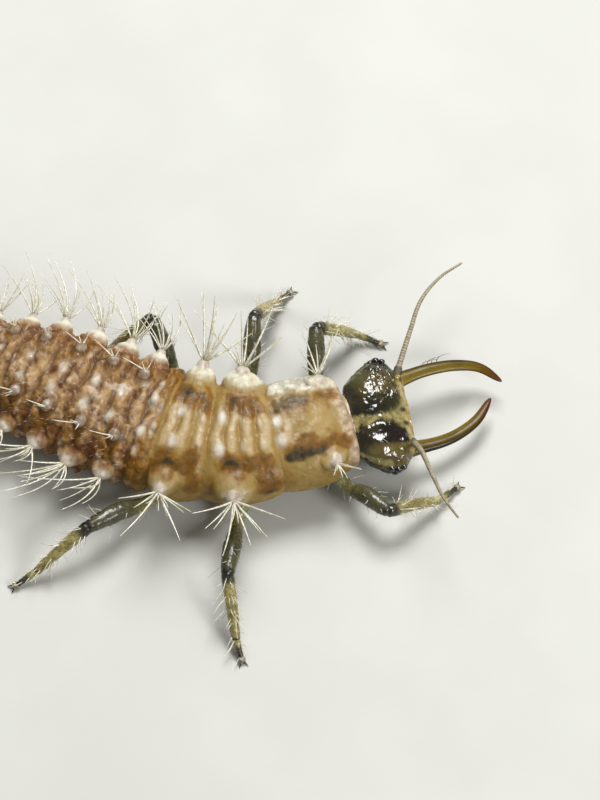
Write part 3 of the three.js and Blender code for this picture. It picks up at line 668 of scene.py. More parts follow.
def marks(table, wobble, soft):
    """How strongly each point of the skin is marked, with edges softened over soft degrees."""
    found = np.zeros_like(push)
    for side, ring, start, end, low, high, strength in table:
        from_ring = (reach[:, None] - ring_ends[ring]) / ring_spans[ring] + 0.07 * lumps
        along = window(from_ring, start, end, 0.015 * soft)
        around = window(side_turn + wobble * lumps, low, high, soft)
        found = np.maximum(found, strength * along * around * (turn * side >= 0))
    return found


brown = marks(BROWN_MARKS, 9, 7.0)
black = marks(BLACK_MARKS, 5, 5.0)
in_middle = step(side_turn, 30, 12)
skin_masks = {
    # On the right-hand warts the white is painted weaker, so brown and black show through: painted shade.
    "brown": brown * (1 - wart_mask * np.where(turn > 0, 1.0, 0.5)),
    "black": black * (1 - wart_mask * np.where(turn > 0, 1.0, 0.5)),
    # Valleys of the wrinkles take painted shade, and their crests on top of the back take a painted
    # highlight.
    "groove": np.clip(1 - ridge, 0, 1) * on_back,
    "ridge": ridge * on_back * in_middle,
    "frost": frost,
    "tubercle": tubercle_shade * (1 - knob_mask),
    # Partly fat seen through the skin, partly a painted highlight.
    "bead": bead_shade,
    "collar": step(reach[:, None] + 0.03 * creases, 0.2, 0.05) * (1 - step(side_turn, 95, 130)),
    # Part strength on the right-hand warts: painted shade.
    "wart": wart_mask * np.where(turn > 0, 1.0, 0.5 + 0.3 * is_abdomen),
    "middle": step(side_turn, 75, 25) * is_abdomen,
    "halo": halo_mask,
    "knob": knob_mask,
    "abdomen": is_abdomen,
    # The sides and underside. On the thorax they take a painted shade.
    "flank": step(side_turn, 34, 78),
    "belly": step(side_turn, 105, 135),
    "grain": coarse,
}


def paint_skin(start):
    place = millimetres(start)
    fine, small = speckle(place, 0.022, 3), speckle(place, 0.06, 4)
    middling, broad = speckle(place, 0.13, 4), speckle(place, 0.4, 3)
    patches = speckle(place, 0.21, 4)
    mask = start.masks(skin_masks)
    thorax = broad.tint("846d35", "987f4c")
    # Darker ochre on the thorax's sides and underside: painted shade on the sides turned from the lamps.
    thorax = thorax.over(mask["flank"] * 0.7, middling.tint("7d6024", "9c8244"))
    thorax = thorax.over(middling.between(0.45, 0.75) * 0.4, "7f6026")
    # Paler wrinkle crests and darker grooves on the thorax: painted highlight and painted shade.
    thorax = thorax.over((mask["ridge"] + (small - 0.5) * 0.5).between(0.35, 1.1) * 0.55, "bba788")
    thorax = thorax.over((mask["groove"] + (small - 0.5) * 0.3).between(0.15, 1.0) * 0.6, "84642b")
    bumpy = mask["grain"] + (small - 0.5) * 0.4
    pink = patches.tint("94795a", "b8a288", 0.4, 0.6)
    abdomen = middling.tint("633a11", "8d642e", 0.36, 0.62)
    abdomen = abdomen.over((mask["middle"] + (patches - 0.5) * 1.5).between(0.35, 1.2) * 0.65, "94794e")
    abdomen = abdomen.over(patches.between(0.52, 0.62) * (1 - 0.5 * mask["middle"]) * 0.8, "5b300b")
    # Paler crests and grain tops, and darker grooves: painted highlight and painted shade.
    abdomen = abdomen.over((mask["ridge"] + (middling - 0.5) * 0.8).between(0.45, 1.1) * 0.5, "ad9069")
    abdomen = abdomen.over(bumpy.between(0.55, 0.85) * 0.3, "ab9470")
    abdomen = abdomen.over((mask["groove"] + (small - 0.5) * 0.6).between(0.3, 0.9) * 0.6, "4a260b")
    abdomen = abdomen.over((mask["tubercle"] + (middling - 0.5) * 1.1).between(0.15, 1.0) * 0.8, pink)
    # Darker furrows between the grains: painted shade.
    abdomen = abdomen.over((1 - bumpy).between(0.55, 0.85) * 0.4, "5b3210")
    abdomen = abdomen.over(speckle(place, 0.12, 2).between(0.56, 0.66) * 0.7, "542a0a")
    abdomen = abdomen.over(speckle(place, 0.17, 2).between(0.6, 0.72) * 0.6, "c2ae96")
    skin = thorax.over((mask["abdomen"] + (small - 0.5) * 0.5).between(0.1, 0.9), abdomen)
    skin = skin.over(mask["belly"] * 0.75, broad.tint("86662f", "9d8152", 0.4, 0.6))
    collar = small.tint("8c7660", "bca993")
    skin = skin.over((mask["collar"] + (small - 0.5) * 0.5).between(0.1, 1.0) * 0.8, collar)
    brown = mask["brown"] + (middling - 0.5) * 0.5 + (small - 0.5) * 0.15
    skin = skin.over(brown.between(0.05, 0.75) * 0.92, small.tint("644305", "84590b", 0.3, 0.7))
    skin = skin.over(brown.between(0.6, 1.2) * 0.7, small.tint("442b06", "583808", 0.3, 0.7))
    frosty = speckle(place, 0.1, 2).tint("a5a190", "cfccbf", 0.36, 0.6)
    skin = skin.over((mask["frost"] + (small - 0.5) * 0.5).between(0.1, 0.9) * 0.92, frosty)
    black = mask["black"] + (small - 0.5) * 0.5 + (fine - 0.5) * 0.2
    skin = skin.over(black.between(0.05, 0.95) * 0.92, small.tint("1d1709", "3d321a", 0.4, 0.65))
    # Pale knobs on the back: partly fat seen through the skin, partly a painted highlight.
    skin = skin.over((mask["bead"] + (small - 0.5) * 0.2).between(0.1, 1.0) * 0.9, "c2bdb0")
    # The warts' white, painted fainter on the right-hand ones as painted shade.
    wart = (small + mask["flank"] * 0.2).tint("b0a88a", "c9c6b5", 0.35, 0.75)
    skin = skin.over((mask["wart"] + (small - 0.5) * 0.3).between(0.05, 0.95), wart)
    skin = skin.over(mask["halo"] * 0.7, "4d2d0a")
    knob = (small + 0.2 - mask["halo"] * 0.2).tint("7d6a57", "b3a89c", 0.4, 0.8)
    skin = skin.over(mask["knob"].between(0.2, 0.9) * 0.88, knob)
    return {
        "Base Color": skin,
        "Roughness": 0.62 - 0.2 * small.between(0.3, 0.7) - 0.1 * mask["knob"],
        "Coat Weight": 0.1 - 0.08 * mask["abdomen"] + 0.5 * mask["abdomen"] * fine.between(0.55, 0.68),
        "Normal": (fine * 0.5 + small).bump(0.005, 0.7),
    }


def glow(weight, radius, depth):
    """Settings for light that spreads under the surface, depth millimetres deep."""
    return {"Subsurface Weight": weight, "Subsurface Radius": radius, "Subsurface Scale": depth * MM}


SKIN_FINISH = {**glow(0.3, (1.0, 0.72, 0.45), 0.06), "Specular IOR Level": 0.28, "Coat Roughness": 0.2}
body_skin = rings
show(
    "skin",
    close(body_skin),
    new_material("moist_skin", SKIN_FINISH, paint_skin),
    [*RINGS, "neck"],
    {name: with_ends(values) for name, values in skin_masks.items()},
)

# The head capsule: hard, polished shell, moulded in one, flat and broad, with lobes behind the eyes, a fine
# seam on each side of the middle stripe, beaded roughness in front, and a thin amber lip between the jaws.
HEAD_JOINT = np.array([1.07, 0.24, 0.47])
HEAD_TURN, HEAD_NOD, HEAD_ROLL = 13, 8, 10
HEAD_FULLNESS = 0.82
HEAD_STATIONS = [
    (-0.07, 0.25, 0.09, 0.09),
    (-0.02, 0.365, 0.135, 0.13),
    (0.03, 0.415, 0.16, 0.145),
    (0.087, 0.467, 0.185, 0.158),
    (0.16, 0.525, 0.205, 0.17),
    (0.24, 0.568, 0.214, 0.178),
    (0.34, 0.578, 0.208, 0.178),
    (0.42, 0.55, 0.19, 0.168),
    (0.48, 0.505, 0.165, 0.15),
    (0.53, 0.46, 0.135, 0.125),
    (0.57, 0.4, 0.09, 0.09),
]
HEAD_ROWS = 260
HEAD_COLUMNS = 300
EYE_PLACE = (0.34, 0.55, 0.03)
EYE_MOUND = (0.14, 0.07)
STRIPE_MIDDLE = -0.062
STRIPE_STOPS = (
    (-0.07, 0, 0.1, 0.2, 0.3, 0.42, 0.5, 0.56),
    (0.07, 0.06, 0.042, 0.025, 0.03, 0.06, 0.14, 0.3),
)

turned, nodded, leaned = (math.radians(angle) for angle in (HEAD_TURN, HEAD_NOD, HEAD_ROLL))
head_forward = np.array(
    [math.cos(nodded) * math.cos(turned), math.cos(nodded) * math.sin(turned), -math.sin(nodded)]
)
level_left = unit(np.cross(UP, head_forward))
head_left = level_left * math.cos(leaned) + np.cross(head_forward, level_left) * math.sin(leaned)
head_up = np.cross(head_forward, head_left)
head_axes = np.array([head_forward, head_left, head_up])


def on_head(places):
    """Places in the design frame from how far along, to the left and above the head's line they are."""
    return HEAD_JOINT + np.asarray(places, float) @ head_axes


def blot(*spans):
    """1 where each value is at its middle, and less by its half size off it."""
    return np.exp(-sum(((value - middle) / half) ** 2 for value, middle, half in spans))


stations = np.array(HEAD_STATIONS)
run = np.linspace(0, 1, HEAD_ROWS)
along = stations[0, 0] + (stations[-1, 0] + 0.022 - stations[0, 0]) * (1 - (1 - run) ** 1.3)
half_width, rise, drop = (eased(stations[:, 0], stations[:, k], along) for k in (1, 2, 3))
lip = np.sqrt(np.clip(1 - (np.maximum(along - stations[-1, 0], 0) / 0.023) ** 2, 0.01, 1))
nape = 1 - 0.35 * step(along, stations[0, 0] + 0.05, stations[0, 0])
angle = np.linspace(0, 2 * np.pi, HEAD_COLUMNS, endpoint=False)
across, upward = squared(angle, HEAD_FULLNESS)
sideways = across * (half_width * (0.3 + 0.7 * lip) * nape)[:, None]
height = np.where(upward > 0, (rise * lip * nape)[:, None], (drop * lip * nape)[:, None]) * upward
along = along[:, None] + np.zeros_like(sideways)
rings = on_head(np.stack([along, sideways, height], axis=-1))

on_top = step(upward, 0.0, 0.35)[None]
from_middle = np.abs(sideways - STRIPE_MIDDLE * on_top)
on_left = step(sideways - STRIPE_MIDDLE, -0.05, 0.05)
temple = blot((along, 0.2, 0.13), (from_middle, 0.3, 0.16)) * on_top
brow = blot((along, 0.46, 0.05), (from_middle, 0.2, 0.09)) * on_top
hollow = blot((along, 0.43, 0.09), (from_middle, 0, 0.07)) * on_top
socket = blot((along, 0.53, 0.04), (np.abs(sideways), 0.36, 0.06))
stripe_half = eased(*STRIPE_STOPS, along)
seam = blot((from_middle - stripe_half, 0.02, 0.012)) * on_top * step(along, 0.5, 0.4)
front = window(along, 0.24, 0.5, 0.06) * step(from_middle + 0.05 * waves(rings, 0.12, 17), 0.12, 0.24)
pebbles = grains(rings, 0.042, 11)
gravel = grains(rings, 0.026, 14)
pores = grains(rings, 0.018, 12)
swell = waves(rings, 0.15, 13)
ripple = waves(rings, 0.07, 15)
push = 0.024 * temple + 0.02 * brow - 0.022 * hollow + 0.03 * socket - 0.007 * seam
push = push + (0.003 + 0.007 * on_left) * front * (pebbles - 0.6) * on_top
push = push + 0.011 * front * on_left * (gravel - 0.6) * on_top
push = push + 0.0016 * (pores - 0.6) + 0.011 * swell + 0.004 * ripple
rings = rings + facing(rings) * push[..., None]
for side in (1, -1):
    foot = on_head((EYE_PLACE[0], side * (EYE_PLACE[1] - 0.03), EYE_PLACE[2]))
    away = rings - foot
    spread = np.hypot(away @ head_forward / EYE_MOUND[0], away @ head_up / EYE_MOUND[1])
    out_by = away @ (head_left * side)
    wanted = 0.075 * (1 - np.clip(spread, 0, 1.2) ** 2)
    gain = np.log1p(np.exp(np.clip((wanted - out_by) / 0.012, -30, 30))) * 0.012
    gain = np.where((out_by > -0.1) & (spread < 1.2), gain * step(spread, 1.2, 0.9), 0)
    rings = rings + gain[..., None] * head_left * side

# The pale stripe widens into the tan front margin. The darkest shell lies on the right of it, olive shell
# towards the sides, and a pale line runs along each cheek above the black edge.
# Each temple is painted a greenish-grey sheen: a painted reflection.
elevation = np.degrees(np.arcsin(np.sin(angle)))[None] + 5 * swell
side_reach = np.abs(sideways - STRIPE_MIDDLE)
stripe_edge = 0.032 + 0.06 * step(along, 0.3, 0.5)
stripe = step(side_reach + 0.04 * ripple, stripe_half + 1.3 * stripe_edge, stripe_half - stripe_edge)
inner_spots = blot((along, 0.51, 0.05), (side_reach, 0.072, 0.032))
outer_spots = blot((along, 0.54, 0.03), (np.abs(sideways), 0.33, 0.035))
sides = window(side_reach, 0.26, 0.52, 0.07) * window(along, 0.08, 0.56, 0.08) * on_top
head_masks = {
    "stripe": stripe * on_top,
    "margin": step(along + 0.02 * swell, 0.45, 0.55) * step(side_reach - 0.08 * on_left, 0.42, 0.34),
    "cheek": blot((elevation, 24, 9)) * window(along, -0.05, 0.31, 0.04) * (1 - 0.5 * on_left),
    "edge": window(elevation, -6, 13, 5) * step(along, 0.4, 0.3),
    "spots": inner_spots + outer_spots,
    "deep": window(sideways - STRIPE_MIDDLE, -0.27, -0.07, 0.05) * window(along, 0.2, 0.52, 0.05),
    "olive": sides * (1 - 0.45 * on_left),
    # The temples' painted sheen.
    "temple": blot((along, 0.12, 0.1), (np.abs(sideways), 0.42, 0.1)) * on_top,
    "under": step(upward, 0.0, -0.4) + np.zeros_like(along),
    "front": front,
}


def paint_head(start):
    place = millimetres(start)
    fine, small, broad = speckle(place, 0.012), speckle(place, 0.05), speckle(place, 0.22)
    mask = start.masks(head_masks)
    shell = broad.tint("1a160b", "2f2a15")
    # A greenish-grey sheen on the temples: painted reflection.
    shell = shell.over((mask["temple"] + (small - 0.5) * 0.4).between(0.0, 1.1) * 0.75, "4d4d33")
    olive = mask["olive"] + (broad - 0.5) * 0.9 + (small - 0.5) * 0.5
    shell = shell.over(olive.between(0.0, 1.1) * 0.75, "5e5128")
    shell = shell.over(mask["front"] * small.between(0.5, 0.68) * 0.4, "776b42")
    shell = shell.over((mask["deep"] + (broad - 0.5) * 0.4).between(0.2, 0.8) * 0.9, "150b08")
    shell = shell.over(mask["under"] * 0.7, "4c4426")
    shell = shell.over(mask["edge"].between(0.2, 0.8) * 0.85, "120f09")
    pale = small.tint("756b3f", "988c5c")
    shell = shell.over((mask["stripe"] + (small - 0.5) * 0.25).between(0.05, 0.95) * 0.9, pale)
    shell = shell.over((mask["cheek"] + (small - 0.5) * 0.2).between(0.2, 0.9) * 0.9, pale)
    amber = small.tint("7f6c39", "a4945c")
    shell = shell.over((mask["margin"] + (small - 0.5) * 0.3).between(0.1, 0.9), amber)
    return {
        "Base Color": shell.over((mask["spots"] + (small - 0.5) * 0.4).between(0.15, 0.95) * 0.9, "241b0e"),
        "Roughness": 0.1 + 0.06 * small.between(0.4, 0.7),
        "Normal": (fine + small).bump(0.002, 0.7),
    }


SHELL_FINISH = {
    **glow(0.12, (1.0, 0.7, 0.3), 0.05),
    "Specular IOR Level": 0.4,
    "Coat Weight": 0.6,
    "Coat Roughness": 0.06,
}
head_skin = rings
show(
    "head_capsule",
    close(head_skin),
    new_material("polished_shell", SHELL_FINISH, paint_head),
    ["head"],
    {name: with_ends(values) for name, values in head_masks.items()},
)

# The eyes: six small smooth lenses on the mound at each side of the head, clear and glassy over black, set
# into the shell in two rows of three.
EYE_BEAD = 0.034
EYE_ROWS = (-1, 1)
EYE_COLUMNS = (-1, 0, 1)
EYE_APART = 0.062
EYE_ROW_APART = 0.03
EYE_STAND = 0.036


def joined(parts):
    """Points, faces and bake map of several closed skins as one."""
    points, faces, patches, count = [], [], [], 0
    for part_points, part_faces, part_patches in parts:
        points.append(part_points)
        faces += [[corner + count for corner in face] for face in part_faces]
        patches.append(part_patches)
        count += len(part_points)
    return np.vstack(points), faces, np.vstack(patches)


def bead(place, radius, axis, flat=0.8):
    """A smooth glassy bead with its axis pointing out of the head."""
    over = np.linspace(0.02, np.pi - 0.02, 20)
    round_it = np.linspace(0, 2 * np.pi, 28, endpoint=False)
    side_one = unit(np.cross(axis, UP))
    side_two = np.cross(axis, side_one)
    ring = np.cos(round_it)[None, :, None] * side_one + np.sin(round_it)[None, :, None] * side_two
    rings = np.sin(over)[:, None, None] * ring + flat * np.cos(over)[:, None, None] * axis
    return close(place + radius * rings)


def paint_eye(start):
    place = millimetres(start)
    glass = speckle(place, 0.02).tint("050505", "17130d")
    return {"Base Color": glass, "Roughness": 0.04 + 0.06 * speckle(place, 0.008).between(0.4, 0.7)}


eye_glass = new_material("eye_glass", {"Coat Weight": 1.0, "Coat Roughness": 0.03, "IOR": 1.55}, paint_eye)
for side, sign in (("left", 1), ("right", -1)):
    beads = []
    for row in EYE_ROWS:
        for column in EYE_COLUMNS:
            along_by = EYE_PLACE[0] + column * EYE_APART + row * 0.012
            out_by = sign * (EYE_PLACE[1] + EYE_STAND - 0.02 * abs(column))
            place = on_head((along_by, out_by, EYE_PLACE[2] + row * EYE_ROW_APART))
            outward = unit(sign * head_left + 0.35 * row * head_up + 0.3 * column * head_forward)
            beads.append(bead(place, EYE_BEAD * (1.0 + 0.12 * (column == 0)), outward))
    show(f"eye_beads_{side}", joined(beads), eye_glass, [f"eyes_{side}"])

# The two sickle jaws: each is a long hollow blade of clear amber horn, smooth and flattened, with dark
# edges, rooted in the front corner of the head and tapering to a sharp reddish tip.
JAW_HALF = 0.075
JAW_TAPER = 0.32
JAW_FLARE = 0.3
JAW_FLATNESS = 0.6
JAW_ROWS = 260
JAW_COLUMNS = 48
JAW_STOPS = {
    "left": [
        (0.5, 0.355, 0), (0.865, 0.432, 0), (1.18, 0.442, -0.01), (1.41, 0.387, -0.02), (1.61, 0.215, -0.03)
    ],
    "right": [
        (0.5, -0.37, 0), (0.847, -0.335, 0), (1.05, -0.275, -0.01), (1.27, -0.15, -0.02), (1.46, 0.06, -0.03)
    ],
}


def tube(line, share, half_across, half_up, columns):
    """Rings round a line. Angle 0 is on its left and a quarter turn further is on top."""
    _, left, over = line.axes(share)
    angle = np.linspace(0, 2 * np.pi, columns, endpoint=False)
    across, upward = np.cos(angle), np.sin(angle)
    middle = line.at(share)[:, None]
    half_across, half_up = (np.broadcast_to(half, (len(share), columns)) for half in (half_across, half_up))
    rings = middle + left[:, None] * (half_across * across)[..., None]
    return rings + over[:, None] * (half_up * upward)[..., None]


def banded(values, columns):
    """A mask that is the same all the way round each ring."""
    return with_ends(np.repeat(values[:, None], columns, axis=1))


def paint_jaw(start):
    place = millimetres(start)
    mask = start.masks(("tip", "outer"))
    small, broad = speckle(place, 0.04), speckle(place, 0.25)
    inner = 1 - mask["outer"]
    horn = broad.tint("4b3d04", "655208", 0.3, 0.7)
    horn = horn.over(inner.between(0.5, 0.85) * 0.6, "7f6a1a")
    horn = horn.over(mask["outer"].between(0.6, 0.95) * 0.85, "241a04")
    horn = horn.over(inner.between(0.94, 1.0) * 0.6, "3a2a08")
    horn = horn.over(mask["tip"].between(0.6, 1.0) * 0.8, "54240c")
    return {
        "Base Color": horn.over((1 - mask["tip"]).between(0.84, 1.0) * 0.6, "8a6f24"),
        "Roughness": 0.26 + 0.1 * small.between(0.3, 0.7),
        "Normal": small.bump(0.0008, 0.4),
    }


HORN_FINISH = {
    **glow(0.3, (1.0, 0.75, 0.1), 0.06),
    "Transmission Weight": 0.15,
    "Specular IOR Level": 0.12,
    "Coat Weight": 0.06,
    "Coat Roughness": 0.08,
}
jaw_horn = new_material("amber_horn", HORN_FINISH, paint_jaw)
jaw_lines = {}
for side, sign in (("left", 1), ("right", -1)):
    line = Line(on_head(JAW_STOPS[side]))
    jaw_lines[side] = line
    share = np.linspace(0.02, 1, JAW_ROWS) ** 0.9
    half = JAW_HALF * (1 + JAW_FLARE * np.maximum(0, 1 - share / 0.25) ** 2) * (1 - JAW_TAPER * share)
    half = (half * np.sqrt(np.clip(1 - share**7, 0.0004, 1)))[:, None]
    angle = np.linspace(0, 2 * np.pi, JAW_COLUMNS, endpoint=False)[None]
    outer_side = sign * np.cos(angle)
    rings = tube(line, share, half, half * JAW_FLATNESS * (1 + 0.12 * outer_side), JAW_COLUMNS)
    masks = {
        "tip": banded(share, JAW_COLUMNS),
        "outer": with_ends((outer_side + 1) / 2 + 0 * share[:, None]),
    }
    show(f"jaw_blade_{side}", close(rings), jaw_horn, [f"jaw_{side}"], masks)

# The antennae: a short thick root in the front corner of the head, then a long thread of some fifty fine
# rings, soft grey-brown skin throughout. The palps under the head are the same skin, in three joints.
ANTENNA_STOPS = {
    "left": [
        (1.51, 0.74, 0.51), (1.65, 1.18, 0.62), (1.76, 1.5, 0.68), (1.95, 1.78, 0.65), (2.18, 1.99, 0.58)
    ],
    "right": [
        (1.67, 0.06, 0.4), (1.76, -0.16, 0.6), (1.87, -0.53, 0.78), (1.98, -0.85, 0.9), (2.12, -1.12, 1)
    ],
}
ANTENNA_RINGS = 52
# Half thicknesses: the thread at its start and end, its root, and the palp at its start and end.
THREAD_HALF = (0.031, 0.011)
ROOT_HALF = 0.042
PALP_HALF = (0.034, 0.016)
PALP_STOPS = [(0.42, 0.14, -0.06), (0.56, 0.18, -0.15), (0.58, 0.2, -0.27)]
PALP_JOINTS = (0.4, 0.68)


def paint_feeler(start):
    place = millimetres(start)
    mask = start.masks(("ring", "root"))
    small = speckle(place, 0.03)
    skin = small.tint("6d6450", "948a70")
    skin = skin.over(mask["ring"].between(0.3, 0.9) * 0.6, "c2b99c")
    return {
        "Base Color": skin.over(mask["root"].between(0.3, 0.8) * 0.8, "3c3320"),
        "Roughness": 0.38 + 0.2 * small,
        "Normal": small.bump(0.0015, 0.7),
    }


feeler_skin = new_material("ringed_skin", glow(0.25, (1.0, 0.7, 0.4), 0.03), paint_feeler)


def feeler(name, replaced, stops, thickness, ringed, rooted, tip, columns):
    """A feeler of half a thickness along its stops, rounded over its tip."""
    share = np.linspace(0, 1, len(thickness))
    half = (thickness * np.sqrt(np.clip((1 - share) / tip, 0.02, 1)))[:, None]
    rings = tube(Line(stops), share, half, half, columns)
    masks = {"ring": banded(ringed, columns), "root": banded(rooted, columns)}
    show(name, close(rings), feeler_skin, [replaced], masks)


share = np.linspace(0, 1, ANTENNA_RINGS * 8 + 1)
thick_root = step(share, 0.075, 0.055)
half = np.interp(share, (0, 1), THREAD_HALF) * (1 - thick_root) + ROOT_HALF * thick_root
grooves = np.abs(np.sin(np.pi * share * ANTENNA_RINGS)) ** 0.6
half = half * (1 + 0.16 * (grooves - 0.7) * (1 - thick_root))
for side, stops in ANTENNA_STOPS.items():
    feeler(f"antenna_thread_{side}", f"antenna_{side}", stops, half, 1 - grooves, thick_root, 0.012, 16)

share = np.linspace(0, 1, 90)
waist = sum(np.exp(-(((share - joint) / 0.025) ** 2)) for joint in PALP_JOINTS)
half = np.interp(share, (0, 1), PALP_HALF) * (1 - 0.28 * waist)
for side, sign in (("left", 1), ("right", -1)):
    stops = on_head(np.array(PALP_STOPS) * (1, sign, 1))
    feeler(f"palp_joints_{side}", f"palp_{side}", stops, half, waist, 0 * waist, 0.05, 20)

# The six legs: coxa, femur, tibia and tarsus are thin glossy cuticle, olive and see-through, blackened on
# each side of the knee, with a soft fold at each joint and a pad under the foot. Each leg is one skin.
LEGS = {
    "front_right": [
        (0.78, -0.02, 0.4), (0.93, -0.27, 0.24), (1.43, -0.73, 0.4), (1.93, -0.467, 0.12), (2.12, -0.28, 0)
    ],
    "front_left": [
        (0.68, 0.3, 0.4), (0.71, 0.62, 0.26), (0.71, 1.26, 0.55), (1.12, 1.42, 0.12), (1.36, 1.36, 0)
    ],
    "middle_right": [
        (0.01, -0.25, 0.4), (-0.05, -0.62, 0.24), (-0.17, -1.446, 0.43), (-0.085, -2.018, 0.12),
        (-0.03, -2.2, 0),
    ],
    "middle_left": [
        (0, 0.25, 0.4), (0.03, 0.62, 0.26), (0.09, 1.368, 0.58), (0.31, 1.782, 0.12), (0.45, 1.94, 0)
    ],
    "hind_right": [
        (-0.56, -0.2, 0.4), (-0.82, -0.45, 0.26), (-1.56, -0.925, 0.43), (-2.07, -1.259, 0.12),
        (-2.28, -1.375, 0),
    ],
    "hind_left": [
        (-0.5, 0.28, 0.4), (-0.63, 0.66, 0.26), (-0.93, 1.352, 0.58), (-1.36, 1.24, 0.12), (-1.6, 1.21, 0)
    ],
}
# Half thicknesses of each joint of a leg at shares of its length.
COXA_RADII = ((0, 1), (0.17, 0.09))
FEMUR_RADII = ((0, 0.1, 0.22, 0.6, 0.85, 1), (0.062, 0.075, 0.064, 0.092, 0.082, 0.064))
TIBIA_RADII = ((0, 0.07, 0.2, 0.5, 0.85, 1), (0.056, 0.066, 0.066, 0.06, 0.05, 0.043))
TARSUS_RADII = ((0, 0.3, 1), (0.034, 0.036, 0.026))
# How far the joints reach past each other at the knee and the ankle.
KNEE_LAP, ANKLE_LAP = 0.03, 0.02
PAD_RADIUS = 0.042
PAD_HEIGHT = 0.06
LEG_COLUMNS = 40


def rounded_ends(share, start, end):
    """Closes a limb roundly at both ends: start and end are how far in from each the rounding reaches."""
    front = np.sqrt(np.clip(1 - (1 - np.clip(share / start, 0, 1)) ** 2, 0.03, 1))
    back = np.sqrt(np.clip(1 - (1 - np.clip((1 - share) / end, 0, 1)) ** 2, 0.03, 1))
    return front * back


def limb(stops, radii, rows, part, start=0.06, end=0.06):
    """One joint of a leg, with its masks: which part it is and how far along it each point lies."""
    share = np.linspace(0, 1, rows)
    half = eased(*radii, share) * rounded_ends(share, start, end)
    rings = tube(Line(stops), share, half[:, None], half[:, None], LEG_COLUMNS)
    dents = waves(rings, 0.07, 20 + part)
    rings = rings + facing(rings) * (0.006 * dents)[..., None]
    points, faces, patches = close(rings)
    masks = {"part": np.full(len(points), float(part)), "share": banded(share, LEG_COLUMNS)}
    return (points, faces, patches * (0.24, 1) + (part * 0.25, 0)), masks, rings


def paint_leg(start):
    place = millimetres(start)
    mask = start.masks(("dark", "pale", "base", "sole"))
    fine, small, broad = speckle(place, 0.014), speckle(place, 0.035), speckle(place, 0.13, 4.0)
    skin = broad.tint("4c4a30", "6b6742")
    skin = skin.over(mask["base"].between(0.1, 0.9), small.tint("8c875a", "a29c68"))
    yellow = small.tint("8d8350", "aba068", 0.4, 0.62)
    skin = skin.over((mask["pale"] + (small - 0.5) * 0.4).between(0.1, 0.9), yellow)
    skin = skin.over(mask["pale"] * broad.between(0.52, 0.68) * 0.55, "5c4a26")
    dark = mask["dark"] + (broad - 0.5) * 0.5 + (small - 0.5) * 0.25
    skin = skin.over(dark.between(0.2, 1.0) * 0.93, small.tint("1d1b14", "34301f", 0.4, 0.65))
    skin = skin.over(mask["sole"], small.tint("6d6546", "857b58", 0.4, 0.65))
    return {
        "Base Color": skin,
        "Roughness": 0.2 + 0.22 * small.between(0.35, 0.7) + 0.3 * mask["sole"],
        "Normal": (fine + small).bump(0.002, 0.8),
    }


